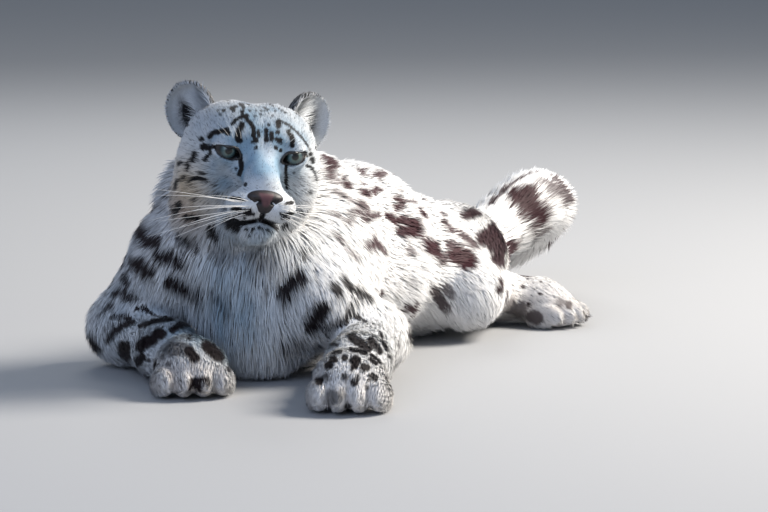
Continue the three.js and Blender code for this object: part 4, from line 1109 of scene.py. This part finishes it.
def colour_masks(p):
    """Two triples for each point: dark, brown and grey; cream, slate and tan."""
    dark, brown = marks_at(p)
    grey, cream, blue_shade, tan = tints_and_shade_at(p).T
    dark = np.maximum(dark, lips_at(p))
    return np.stack([dark, brown, grey, cream, blue_shade, tan], axis=1)


def store_masks(mesh, values):
    store(mesh, "marks", values[:, :3])
    store(mesh, "tints_and_shade", values[:, 3:])


store_masks(skin.data, colour_masks(skin_points))
near_tip = coat["middle"] * 0.2 + coat["tip"] * 0.8
coat["masks"], coat["tip_masks"] = colour_masks(coat["middle"]), colour_masks(near_tip)
part_here = part_of(roots)
pepper = np.array([PEPPER[name] for name in part_names])[part_here]
crown = soft_patch(to_head(roots), vec(0, -8, 62), vec(60, 52, 32))
pepper += 0.3 * crown * (part_here == part_names.index("head"))
dusted = chance.random(len(roots)) < pepper
dust = chance.uniform(0.25, 0.7, dusted.sum())
for key in ("masks", "tip_masks"):
    coat[key][dusted, 0] = np.maximum(coat[key][dusted, 0], dust)
print(dusted.sum(), "dark guard hairs")

# %% [markdown]
# The coat's own map is an unwrap of the skin: each part is unrolled round its axis onto a tile, and each tuft is a
# small patch at its root's place there. Tufts that stand together share a region, so a picture baked on the map looks
# like a pelt spread out flat.

# %% Unroll the skin
TILES = {  # corner, width and height
    "head": (0, 0.5, 0.5, 0.5), "tail": (0.5, 0.5, 0.5, 0.5), "trunk": (0, 0, 0.6, 0.5),
    "right_fore": (0.6, 0, 0.2, 0.25), "left_fore": (0.8, 0, 0.2, 0.25),
    "right_hind": (0.6, 0.25, 0.2, 0.25), "left_hind": (0.8, 0.25, 0.2, 0.25)}
PATCH = 0.003


def unroll(p, part):
    """Where points of one part fall on its tile: along its axis, and round it."""
    if part == "head":
        q = to_head(p)
        along, turn = (q[:, 2] + 110) / 200, np.arctan2(q[:, 0], 10 - q[:, 1])
    elif part == "trunk":
        along, turn = (p[:, 1] + 180) / 760, np.arctan2(p[:, 0] - 4, p[:, 2] - 100)
    else:
        line = tail_line if part == "tail" else np.array(JOINTS[part])
        step = np.argmin(((p[:, None] - line[None]) ** 2).sum(-1), axis=1)
        forward = unit(np.gradient(line, axis=0))[step]
        side = unit(np.cross(forward, vec(0, 0, 1)))
        off = p - line[step]
        along = (step + np.clip((off * forward).sum(1) / 150, -0.5, 0.5) + 0.5) / len(line)
        turn = np.arctan2((off * side).sum(1), (off * np.cross(side, forward)).sum(1))
    x, y, wide, high = TILES[part]
    share = np.clip(np.stack([along, turn / (2 * math.pi) + 0.5], axis=1), 0, 1) * 0.96 + 0.02
    return vec(x, y) + share * vec(wide, high)


coat["uv"] = np.zeros((len(roots), 2))
for index, part in enumerate(part_names):
    chosen = part_here == index
    if chosen.any():
        coat["uv"][chosen] = unroll(roots[chosen], part)

# %% [markdown]
# A tuft is a thin spindle: a point in the skin, a three-sided middle and a point at the tip. Six triangles are few
# enough for a quarter of a million of them. Their shading normals lean towards the skin's, so the coat catches light
# as one soft surface instead of as thousands of small facets. Hair could be grown as particles or curves, but those
# aren't closed meshes, and a model handed on without them would be bald.

# %% Build the tufts of one piece
SPINDLE = [(0, 3, 1), (0, 2, 3), (0, 1, 2), (4, 1, 3), (4, 3, 2), (4, 2, 1)]


def build_tufts(name, coat, ids):
    out, across, half, middle = (coat[key][ids] for key in ("out", "across", "half", "middle"))
    ring = [middle + across * half, middle - across * half, middle + out * half * 0.6]
    points = np.stack([coat["start"][ids], *ring, coat["tip"][ids]], axis=1)
    points[:, :, 2] = np.maximum(points[:, :, 2], FLOOR_CLEAR)
    loops = (np.array(SPINDLE).ravel() + 5 * np.arange(len(ids))[:, None]).ravel()
    mesh = bpy.data.meshes.new(name)
    mesh.vertices.add(5 * len(ids))
    mesh.vertices.foreach_set("co", (points * MM).ravel())
    mesh.loops.add(len(loops))
    mesh.loops.foreach_set("vertex_index", loops)
    mesh.polygons.add(len(loops) // 3)
    mesh.polygons.foreach_set("loop_start", np.arange(0, len(loops), 3))
    mesh.update(calc_edges=True)
    normals = unit(np.stack([out, out + across * 0.35, out - across * 0.35, out, out], axis=1))
    mesh.normals_split_custom_set_from_vertices(normals.reshape(-1, 3).astype(np.float32))
    masks = np.repeat(coat["masks"][ids], 5, axis=0)
    masks[4::5] = coat["tip_masks"][ids]
    store_masks(mesh, masks)
    tone = np.repeat(chance.random(len(ids)), 5)
    along = np.tile([0, 0.46, 0.46, 0.46, 1.0], len(ids))
    store(mesh, "tuft", np.stack([along, tone, np.zeros_like(tone)], axis=1))
    spread = np.array([(0, -1), (-1, 0), (1, 0), (0, 0), (0, 1)]) * PATCH / 2
    at_vertex = (coat["uv"][ids][:, None] + spread).reshape(-1, 2)
    mesh.uv_layers.new(name="OFBake").data.foreach_set("uv", at_vertex[loops].ravel())
    obj = bpy.data.objects.new(name, mesh)
    bpy.context.scene.collection.objects.link(obj)
    return obj


PART_SLOTS = {"head": "face_coat", "tail": "tail_coat", "trunk": "body_coat"}
PIECE_MOST = 32_000
coats = []  # piece, slot
for index, part in enumerate(part_names):
    ids = np.flatnonzero(part_here == index)
    ids = ids[np.argsort(roots[ids, 1], kind="stable")]
    for k, chunk in enumerate(np.array_split(ids, math.ceil(len(ids) / PIECE_MOST))):
        coats.append((build_tufts(f"coat_{part}_{k + 1}", coat, chunk), PART_SLOTS.get(part, "leg_coat")))
        print(coats[-1][0].name, len(chunk), "tufts")

# %% [markdown]
# The eyes are balls with a bulge over the iris, as a real cornea has. A real eye is a clear shell over a deeper iris.
# One closed shell under a wet film looks the same from here and is simpler. Each point keeps its place across and up
# from the middle of the pupil, so the material can draw pupil, iris and dark edge as rings at their real size.

# %% Eyeballs
EYE_BALL = 13.3
EYE_FORWARD = 1.0
CORNEA_BULGE, CORNEA_EDGE = 0.075, 0.74  # share of the radius, and radians from the middle of the pupil
skin_tree = tree_of(skin_points, skin_triangles)
eyes = []
for s, side in SIDES:
    deselect()
    bpy.ops.mesh.primitive_uv_sphere_add(segments=48, ring_count=32, radius=EYE_BALL * MM)
    eye = bpy.context.object
    eye.name = eye.data.name = f"eyeball_{side}"
    local = points_of(eye)
    off_axis = np.arccos(np.clip(local[:, 2] / EYE_BALL, -1, 1))
    local *= 1 + CORNEA_BULGE * np.clip(1 - (off_axis / CORNEA_EDGE) ** 2, 0, 1)[:, None]
    store(eye.data, "from_pupil", np.stack([local[:, 0], local[:, 1], np.degrees(off_axis)], axis=1))
    facing = np.stack([local[:, 0], -local[:, 2], local[:, 1]], axis=1)
    put_points(eye, from_head(facing + EYE_AT * (s, 1, 1) - (0, EYE_FORWARD, 0)))
    bpy.ops.object.shade_smooth()
    eyes.append(eye)
print("eyeballs", EYE_BALL * 2, "mm across")

# %% [markdown]
# A cat's lids have bare black edges. Each is a thin cord laid along the edge of the opening, thicker at the inner
# corner and thicker above, where the extra black is painted shadow of the brow. It is a curve with a round section,
# turned to a mesh once its points are set. The edge could be carved in the skin, but that would take faces half a
# millimetre wide, and would be harder to give its own wet finish.

# %% Cords of skin and hair
def cords(name, rows, sides=2, closed=False):
    """Round cords through the given points, each row a pair of points in the head's frame and a radius for each."""
    deselect()
    bpy.ops.curve.primitive_nurbs_path_add()
    made = bpy.context.object
    made.name = made.data.name = name
    made.data.splines.clear()
    made.data.bevel_depth, made.data.bevel_resolution = MM, sides
    made.data.use_fill_caps = True
    for points, radii in rows:
        line = made.data.splines.new("POLY")
        line.points.add(len(points) - 1)
        line.use_cyclic_u = closed
        for point, place, radius in zip(line.points, from_head(points) * MM, radii):
            point.co, point.radius = (*place, 1), radius
    bpy.ops.object.convert(target="MESH")
    bpy.ops.object.shade_smooth()
    return bpy.context.object


def face_from_front(x, z, start=-200.0):
    """The point of the face straight behind a point in front of it, in the head's frame."""
    hit, _, _, _ = skin_tree.ray_cast(Vector(from_head(vec(x, start, z))), Vector(way_from_head(vec(0, 1, 0))))
    return to_head(np.array(hit)) if hit is not None else vec(x, -60, z)


lid_rows = []
for s, side in SIDES:
    points, radii = [], []
    for (toward_nose, up), angle in zip(lid_line[:-1], lid_angle[:-1]):
        outward = unit(vec(toward_nose, up)) * 1.5
        x, z = s * (EYE_AT[0] - toward_nose), EYE_AT[2] + up
        face = face_from_front(x - s * outward[0], z + outward[1])
        points.append(vec(x, face[1] - 0.1, z))
        inner_corner = math.exp(-((angle + 25) / 22) ** 2)
        # Painted shadow: the cord grows thicker along the upper lid to stand in for the brow's shadow.
        radii.append(1.05 + 0.7 * fade(up, 0, 3) + 0.3 * inner_corner)
    smooth = np.array(points)
    for _ in range(3):
        smooth[:, 1] = (np.roll(smooth[:, 1], 1) + smooth[:, 1] * 2 + np.roll(smooth[:, 1], -1)) / 4
    lid_rows.append((smooth, radii))
lid_edges = [cords(f"lid_edge_{side}", [row], sides=3, closed=True) for (_, side), row in zip(SIDES, lid_rows)]
print("lid edges laid")

# %% [markdown]
# The nose leather is a small pad with two wings round comma-shaped nostrils and a groove down the middle. It is
# blocked in from two eggs, merged by a voxel remesh, and its points are moved onto a field that has the nostrils
# hollowed out. Cut by a Boolean they would have sharp rims, and these are soft and round.

# %% Nose
NOSE_GRID = 1.2
NOSTRIL = ball(vec(8.6, -119, -37.6), vec(3.5, 7, 2.7))
NOSTRIL_TAIL = limb(vec(10, -119, -37), vec(17.5, -116, -33), 1.9, 1.1)


def nose_form(q):
    left_half = mirrored(q)
    holes = soften(NOSTRIL(left_half), NOSTRIL_TAIL(left_half), 2)
    wings = 1.3 * soft_patch(left_half, vec(12.5, -118, -32), vec(6, 8, 3.4))
    groove = 0.9 * np.exp(-(q[:, 0] ** 2)) * fade(q[:, 2], -34, -4)
    return nose_leather(q) - wings + groove + 4.5 * fade(holes, 0.8, -1.6)


nose = join([lump(form.form[1], form.form[2] + 1) for form in NOSE_FORMS], "nose_leather")
voxel_skin(nose, NOSE_GRID)
put_points(nose, settle(points_of(nose), nose_form, rounds=4, most=1.2))
apply_modifier(nose, "SMOOTH", factor=0.4, iterations=2)
local = points_of(nose)
across, up = np.abs(local[:, 0]), local[:, 2]
pink = fade(2.6 + 7.0 * fade(up, -46, 17) - across, 0, 2.4) * (fade(up, -26.2, -2) * fade(up, -44, 4))
# Painted shade: the nostril holes, far inside the pad's form, are marked to be coloured almost black.
hollow_shade = fade(nose_leather(local), -1.4, -1.6)
store(nose.data, "leather", np.stack([pink, hollow_shade, np.zeros_like(pink)], axis=1))
put_points(nose, from_head(local))
bpy.ops.object.shade_smooth()
print("nose", len(nose.data.polygons), "faces")

# %% [markdown]
# An ear is a cup: an egg with another egg hollowed out of its front, as a Boolean does, then remeshed and settled on
# a field so that the rim is thin and round. Its foot is sunk in the head. A flat shape with a wall would be easier,
# but wouldn't cup the way an ear does.

# %% Ears
EAR_GRID = 1.7
EAR_OUTER = ball(vec(0, 0, 0), vec(28.6, 16.4, 34.6))
EAR_CUP = ball(vec(0, -9.5, -1), vec(25.6, 21.5, 31))


def ear_form(e):
    return -soften(-EAR_OUTER(e), EAR_CUP(e), 2.5)


def ear_frame(s):
    return vec(s * 69, 28, 47), about("z", s * 24) @ about("y", s * 22) @ about("x", -8)


ears = []
for s, side in SIDES:
    cup = lump(EAR_CUP.form[1], EAR_CUP.form[2])
    ear = fix(lump(EAR_OUTER.form[1], EAR_OUTER.form[2]), f"ear_{side}_skin")
    apply_modifier(ear, "BOOLEAN", operation="DIFFERENCE", object=cup)
    only(cup)
    bpy.ops.object.delete()
    voxel_skin(ear, EAR_GRID)
    put_points(ear, settle(points_of(ear), ear_form, most=1.2))
    apply_modifier(ear, "SMOOTH", factor=0.5, iterations=2)
    bpy.ops.object.shade_smooth()
    ears.append(ear)
print("ears", [len(ear.data.polygons) for ear in ears], "faces")

# %% [markdown]
# The back of an ear has short dense fur, black round a smoky middle. Inside, short pale hairs with a painted cool blue
# shade lie towards the rim, the hollow is thinly haired and painted dark as the shade inside the cup, with a painted
# shadow wedge above it, and long white hairs fan from the inner edge across it.

# %% Coats of the ears
def ear_coat(s, side, ear):
    at, turn = ear_frame(s)
    e, triangles, normals = mesh_arrays(ear)
    inside = fade(EAR_CUP(e), 1.3, -1.2) * (normals[:, 1] < 0.5)
    inward = -s * e[:, 0]
    # Painted shade: the dark of the ear's hollow and of the shadow wedge above it.
    hollow_shade = soft_patch(e, vec(s * 2, 9, -7), vec(13, 14, 15))
    hollow_shade = (hollow_shade + 0.5 * soft_patch(e, vec(s * 9, 8, 6), vec(5, 14, 13))) * inside
    smoky = soft_patch(e, vec(0, 16, 6), vec(13, 12, 17))
    dark = np.clip(np.maximum((1 - inside) * (1 - smoky) * 0.95, 1.35 * hollow_shade), 0, 1)
    dark = np.where((inside > 0.5), np.clip(1.5 * hollow_shade, 0, 1), dark)
    grey = np.clip(0.5 * (1 - inside) + 0.06, 0, 1)
    zero = np.zeros(len(e))
    # The fifth value is the cool blue tint, painted shade on the inside of the cup.
    skin_look = np.stack([dark, zero, grey, zero, 0.3 * inside * (1 - hollow_shade), zero], axis=1)
    put_points(ear, from_head(e @ turn.T + at))
    store_masks(ear.data, skin_look)
    fan = inside * fade(inward, 3, 12) * fade(e[:, 2], 28, -20)
    hair = np.where(inside > 0.5, 6 + 18 * fan, 6)
    wide = np.where(fan > 0.3, 0.9, 0.75)
    density = 2.8 / (0.5 * hair * wide) * np.clip(1.1 - 1.3 * hollow_shade, 0.15, 1)
    density *= np.where(e[:, 2] < -28, 0.2, 1)
    roots, out = scatter(e, triangles, normals, density)
    ids = nearest_of(e, roots)
    across_cup = unit(vec(s * 0.8, -0.55, 0.65) + chance.normal(0, 0.16, (len(roots), 3)))
    to_rim = unit(roots * vec(1, 0, 1) + vec(0, -3, 6))
    upward = np.tile(vec(0, -0.25, 1), (len(roots), 1)) + roots * vec(0.02, 0, 0)
    share = fan[ids, None]
    lie = np.where(inside[ids, None] > 0.5, across_cup * share + to_rim * (1 - share), upward)
    lie = unit(lie - out * (lie * out).sum(1, keepdims=True) * (1 - 0.4 * share))
    place = lambda p: from_head(p @ turn.T + at)
    way = lambda v: way_from_head(v @ turn.T)
    lift = np.where(inside[ids] > 0.5, 8 + 20 * fan[ids], 7)
    tufts = comb(place(roots), way(out), way(lie), hair[ids], wide[ids], lift, sink=0.4)
    looks = skin_look[ids]
    looks[fan[ids] > 0.25, 0] = 0.0
    looks[:, 0] = np.where((inside[ids] < 0.5) & (chance.random(len(ids)) < 0.3), looks[:, 0] * 0.5, looks[:, 0])
    tufts["masks"] = tufts["tip_masks"] = looks
    tufts["uv"] = vec(0.02 if s > 0 else 0.07, 0.96) + (roots[:, [0, 2]] / vec(60, 72) + 0.5) * vec(0.04, 0.03)
    coats.append((build_tufts(f"coat_ear_{side}", tufts, np.arange(len(roots))), "ear_coat"))
    print(coats[-1][0].name, len(roots), "tufts")


for (s, side), ear in zip(SIDES, ears):
    ear_coat(s, side, ear)

# %% [markdown]
# Whiskers grow in four rows on each side of the muzzle and curve back. A few finer ones stand over the eyes. The real
# ones are under half a millimetre thick. These are a little thicker, so that they still show from some metres away.
# They could be long cones, but a curve with a round section that thins out also bends.

# %% Whiskers
rows = []
for s, _ in SIDES:
    for row in range(4):
        for column in range(4):
            root = face_from_front(s * (16 + 5 * column + 1.5 * (row % 2)), -38.5 - 4.6 * row - 0.8 * column)
            long = 52 + 15 * column + chance.uniform(-8, 16) - 5 * row
            way = unit(vec(s * 0.95, -0.42 + 0.1 * column, 0.16 - 0.16 * row) + chance.normal(0, 0.07, 3))
            bend = vec(s * 0.05, 0.34, -0.2 + chance.normal(0, 0.06))
            share = np.linspace(0, 1, 10)[:, None]
            thick = 0.3 * (1 - share[:, 0]) ** 0.7 + 0.06
            rows.append((root + vec(0, 1, 0) + long * (way * share + bend * share ** 2), thick))
    for n in range(5):
        root = face_from_front(s * (26 + 4.5 * n), 27 + 2 * (n % 2))
        way = unit(vec(s * (0.15 + 0.14 * n), -0.75, 0.75) + chance.normal(0, 0.08, 3))
        share = np.linspace(0, 1, 8)[:, None]
        line = way * share + vec(s * 0.1, 0.3, -0.05) * share ** 2
        rows.append((root + vec(0, 1, 0) + chance.uniform(20, 32) * line, 0.17 * (1 - share[:, 0]) + 0.05))
whiskers = cords("whiskers", rows, sides=0)
print(len(rows), "whiskers")

# %% [markdown]
# Materials. Colours are written as on a paint chart, in sRGB, and turned to linear by one function. One small
# function adds a node with its settings and links. Sockets that share a name are asked for by number.

# %% Material helpers
MIX_SHARE, MIX_FIRST, MIX_SECOND, MIX_OUT = 0, 6, 7, 2  # the colour sockets of a Mix node
TO_LEAST, TO_MOST = 3, 4  # of a Map Range node


def linear(code):
    parts = [int(code[n:n + 2], 16) / 255 for n in (1, 3, 5)]
    return tuple(c / 12.92 if c <= 0.04045 else ((c + 0.055) / 1.055) ** 2.4 for c in parts) + (1.0,)


def material(name):
    made = bpy.data.materials.new(name)
    made.use_nodes = True
    made.node_tree.nodes.clear()
    print("material", name)
    return made


def node(tree, kind, values=None, links=None, **settings):
    """Adds a node: settings are its options, values and links go to its inputs by name or number."""
    made = tree.nodes.new(kind)
    for key, value in settings.items():
        setattr(made, key, value)
    for socket, value in (values or {}).items():
        made.inputs[socket].default_value = value
    for socket, source in (links or {}).items():
        tree.links.new(source, made.inputs[socket])
    return made


# %% [markdown]
# Fur. The hair of this cat is white with faint tints and blackish to maroon marks; some of the tints and a few of the
# marks are painted shade. It is matt and scatters light along its edges. Each tuft is darkened towards its root as
# painted shade low in the coat, and its tone differs a little from the next at random. The same colours go on the skin
# below, so that nothing foreign shows between tufts. A hair shader would suit single strands, but a tuft is a solid
# bunch, so a plain rough surface with a little sheen gives the softer look. Single hairs of the underfur are some
# hundredths of a millimetre thick, too fine to show, so its bump is drawn coarser, at about a millimetre.

# %% Fur
UNDERFUR_PER_M = 900.0
# The cool blue is the colour of painted shade. The grey serves both the coat's own smoky grey and painted shade.
TINT_AND_SHADE_COLOURS = {"grey": "#868b95", "cream": "#dcc19a", "blue_shade": "#839eb2", "tan": "#a98c74"}


def fur_material(name, is_tuft):
    made = material(name)
    tree = made.node_tree
    read = [node(tree, "ShaderNodeAttribute", attribute_name=key) for key in ("marks", "tints_and_shade", "tuft")[:2 + is_tuft]]
    marks, tints_and_shade, *tuft = [node(tree, "ShaderNodeSeparateXYZ", links={0: each.outputs["Vector"]}) for each in read]
    colour = None
    sources = {"grey": marks.outputs[2], "cream": tints_and_shade.outputs[0], "blue_shade": tints_and_shade.outputs[1], "tan": tints_and_shade.outputs[2]}
    for tint, code in TINT_AND_SHADE_COLOURS.items():
        ends = {MIX_FIRST: linear("#f4f3f2"), MIX_SECOND: linear(code)}
        mixed = node(tree, "ShaderNodeMix", ends, {MIX_SHARE: sources[tint]}, data_type="RGBA")
        if colour:
            tree.links.new(colour, mixed.inputs[MIX_FIRST])
        colour = mixed.outputs[MIX_OUT]
    ends = {MIX_FIRST: linear("#100e10"), MIX_SECOND: linear("#3c1c22")}
    mark = node(tree, "ShaderNodeMix", ends, {MIX_SHARE: marks.outputs[1]}, data_type="RGBA")
    layers = {MIX_SHARE: marks.outputs[0], MIX_FIRST: colour, MIX_SECOND: mark.outputs[MIX_OUT]}
    colour = node(tree, "ShaderNodeMix", links=layers, data_type="RGBA").outputs[MIX_OUT]
    shader = node(tree, "ShaderNodeBsdfPrincipled", {
        "Roughness": 0.6, "Specular IOR Level": 0.18, "Sheen Weight": 0.1, "Sheen Roughness": 0.4})
    if is_tuft:
        along, tone = tuft[0].outputs[0], tuft[0].outputs[1]
        # Painted shade: each tuft darkens towards its root, where the coat shades itself.
        root_shade = node(tree, "ShaderNodeMapRange", {TO_LEAST: 0.82, TO_MOST: 1.03}, {0: along})
        vary = node(tree, "ShaderNodeMapRange", {TO_LEAST: 0.92, TO_MOST: 1.04}, {0: tone})
        both = node(tree, "ShaderNodeMath", links={0: root_shade.outputs[0], 1: vary.outputs[0]}, operation="MULTIPLY")
        layers = {MIX_FIRST: colour, MIX_SECOND: both.outputs[0]}
        shaded = node(tree, "ShaderNodeMix", {MIX_SHARE: 1.0}, layers, data_type="RGBA", blend_type="MULTIPLY")
        colour = shaded.outputs[MIX_OUT]
    else:
        place = node(tree, "ShaderNodeTexCoord")
        hairs = node(tree, "ShaderNodeTexNoise", {"Scale": UNDERFUR_PER_M, "Detail": 2.0}, {0: place.outputs["Object"]})
        bump = node(tree, "ShaderNodeBump", {"Strength": 0.6, "Distance": 0.0006}, {"Height": hairs.outputs[0]})
        tree.links.new(bump.outputs[0], shader.inputs["Normal"])
    tree.links.new(colour, shader.inputs["Base Color"])
    node(tree, "ShaderNodeOutputMaterial", links={0: shader.outputs[0]})
    return made


tuft_fur = fur_material("guard hair in tufts", True)
under_fur = fur_material("short underfur on skin", False)

# %% [markdown]
# Eye. A clear wet cornea over a grey green iris with fine spokes, a round pupil and a dark ring where the iris ends.
# The iris colours are darker than its own grey green, as painted shade from the brow.
# The wet film is a smooth clear coat with the refraction of the cornea. It is what makes the eye look alive.

# %% Eye
IRIS_REACH = 12.0
eye_look = material("wet cornea over grey green iris")
tree = eye_look.node_tree
from_pupil = node(tree, "ShaderNodeAttribute", attribute_name="from_pupil")
flat = node(tree, "ShaderNodeVectorMath", {1: (1, 1, 0)}, {0: from_pupil.outputs["Vector"]}, operation="MULTIPLY")
away = node(tree, "ShaderNodeVectorMath", links={0: flat.outputs[0]}, operation="LENGTH")
spoke_way = node(tree, "ShaderNodeVectorMath", links={0: flat.outputs[0]}, operation="NORMALIZE")
spokes = node(tree, "ShaderNodeTexNoise", {"Scale": 9.0, "Detail": 3.0}, {0: spoke_way.outputs[0]})
shifted = node(tree, "ShaderNodeMath", {1: 1.6, 2: -0.8}, {0: spokes.outputs[0]}, operation="MULTIPLY_ADD")
ragged = node(tree, "ShaderNodeMath", links={0: away.outputs["Value"], 1: shifted.outputs[0]}, operation="ADD")
share = node(tree, "ShaderNodeMath", {1: IRIS_REACH}, {0: ragged.outputs[0]}, operation="DIVIDE")
rings = node(tree, "ShaderNodeValToRGB", links={0: share.outputs[0]})
# Painted shade: the iris colours are darkened all over to stand in for the brow's shade.
RINGS = [  # share of 12 mm from the middle of the pupil, colour
    (0.0, "#040506"), (0.30, "#050607"), (0.33, "#37423b"), (0.42, "#4f625c"),
    (0.58, "#3a5053"), (0.72, "#1f2d2f"), (0.79, "#121616"), (1.0, "#241a17")]
for position, code in RINGS[1:-1]:
    rings.color_ramp.elements.new(position).color = linear(code)
rings.color_ramp.elements[0].color, rings.color_ramp.elements[-1].color = linear(RINGS[0][1]), linear(RINGS[-1][1])
film = {"Roughness": 0.35, "Coat Weight": 0.6, "Coat Roughness": 0.03, "Coat IOR": 1.376}
shader = node(tree, "ShaderNodeBsdfPrincipled", film, {"Base Color": rings.outputs[0]})
node(tree, "ShaderNodeOutputMaterial", links={0: shader.outputs[0]})

# %% [markdown]
# Bare skin. The lid edges are black and moist. The nose leather is dull rose in the middle and black at the wings,
# with pebbles about a millimetre across and a faint shine. Inside the nostrils it goes almost black, as painted shade.

# %% Bare skin
lid_look = material("moist black lid skin")
shader = node(lid_look.node_tree, "ShaderNodeBsdfPrincipled", {
    "Base Color": linear("#120e0e"), "Roughness": 0.4, "Coat Weight": 0.3, "Coat Roughness": 0.2})
node(lid_look.node_tree, "ShaderNodeOutputMaterial", links={0: shader.outputs[0]})

PEBBLES_PER_M = 950.0
nose_look = material("pebbled nose leather")
tree = nose_look.node_tree
read = node(tree, "ShaderNodeAttribute", attribute_name="leather")
leather = node(tree, "ShaderNodeSeparateXYZ", links={0: read.outputs["Vector"]})
ends = {MIX_FIRST: linear("#1c1416"), MIX_SECOND: linear("#512e34")}
base = node(tree, "ShaderNodeMix", ends, {MIX_SHARE: leather.outputs[0]}, data_type="RGBA")
layers = {MIX_SHARE: leather.outputs[1], MIX_FIRST: base.outputs[MIX_OUT]}
# Painted shade: the nostrils go almost black.
nostril_shade = node(tree, "ShaderNodeMix", {MIX_SECOND: linear("#080506")}, layers, data_type="RGBA")
place = node(tree, "ShaderNodeTexCoord")
pebbles = node(tree, "ShaderNodeTexVoronoi", {"Scale": PEBBLES_PER_M}, {0: place.outputs["Object"]})
height = {"Height": pebbles.outputs["Distance"]}
bump = node(tree, "ShaderNodeBump", {"Strength": 0.5, "Distance": 0.0004}, height, invert=True)
damp = {"Roughness": 0.5, "Coat Weight": 0.15, "Coat Roughness": 0.35}
shader = node(tree, "ShaderNodeBsdfPrincipled", damp, {"Base Color": nostril_shade.outputs[MIX_OUT], "Normal": bump.outputs[0]})
node(tree, "ShaderNodeOutputMaterial", links={0: shader.outputs[0]})

whisker_look = material("white whisker hair")
shader = node(whisker_look.node_tree, "ShaderNodeBsdfPrincipled", {"Base Color": linear("#f6f3ec"), "Roughness": 0.35})
node(whisker_look.node_tree, "ShaderNodeOutputMaterial", links={0: shader.outputs[0]})


# %% [markdown]
# Each piece rides on the one body, gets its material, and stands for the solids it clothes. Its slot is only printed.

# %% Dress the frame
def finish(obj, look, slot, *stands_for):
    obj.data.materials.clear()
    obj.data.materials.append(look)
    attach(obj, "root")
    if stands_for:
        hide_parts(*stands_for)
    print(obj.name, "in", slot)


own = {"eye_left", "eye_right", "nose", "ear_left", "ear_right"}
finish(skin, under_fur, "body_coat", *[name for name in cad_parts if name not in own])
for piece, slot in coats:
    finish(piece, tuft_fur, slot)
for (_, side), eye, lid, ear in zip(SIDES, eyes, lid_edges, ears):
    finish(eye, eye_look, "eye", f"eye_{side}")
    finish(lid, lid_look, "nose_leather")
    finish(ear, under_fur, "ear_coat", f"ear_{side}")
finish(nose, nose_look, "nose_leather", "nose")
finish(whiskers, whisker_look, "face_coat")

# %% [markdown]
# The floor is plain and pale. Three large soft lamps and a bright room give studio light. The key lamp is warm and
# stands to the animal's left and behind it, the cool fill lamp in front keeps the face from going dark, and the back
# lamp parts the far side from the floor.

# %% Floor, lamps and room
deselect()
bpy.ops.mesh.primitive_plane_add(size=24)
floor = bpy.context.object
floor.name = "floor"
paint = material("matt pale floor paint")
shader = node(paint.node_tree, "ShaderNodeBsdfPrincipled", {"Base Color": linear("#9d9ea0"), "Roughness": 0.9})
node(paint.node_tree, "ShaderNodeOutputMaterial", links={0: shader.outputs[0]})
floor.data.materials.append(paint)


def lamp(name, place, target, size, watts, tint):
    bpy.ops.object.light_add(type="AREA", location=place)
    made = bpy.context.object
    made.name = name
    made.rotation_euler = (Vector(target) - Vector(place)).to_track_quat("-Z", "Y").to_euler()
    made.data.size, made.data.energy = size, watts
    made.data.color = linear(tint)[:3]
    print(name, watts, "W")


lamp("key lamp", (2.3, 1.7, 2.5), (0, 0.15, 0.15), 1.6, 310, "#fff8ee")
lamp("fill lamp", (0.2, -3.3, 2.0), (0, 0, 0.2), 2.4, 46, "#c8dbff")
lamp("back lamp", (-1.6, 2.4, 2.3), (0, 0.2, 0.2), 1.6, 34, "#ffffff")
room = bpy.data.worlds.new("soft room")
bpy.context.scene.world = room
room.use_nodes = True
background = room.node_tree.nodes["Background"]
background.inputs[0].default_value = linear("#d2e1f6")
background.inputs[1].default_value = 0.38
bpy.context.scene.view_settings.view_transform = "Standard"
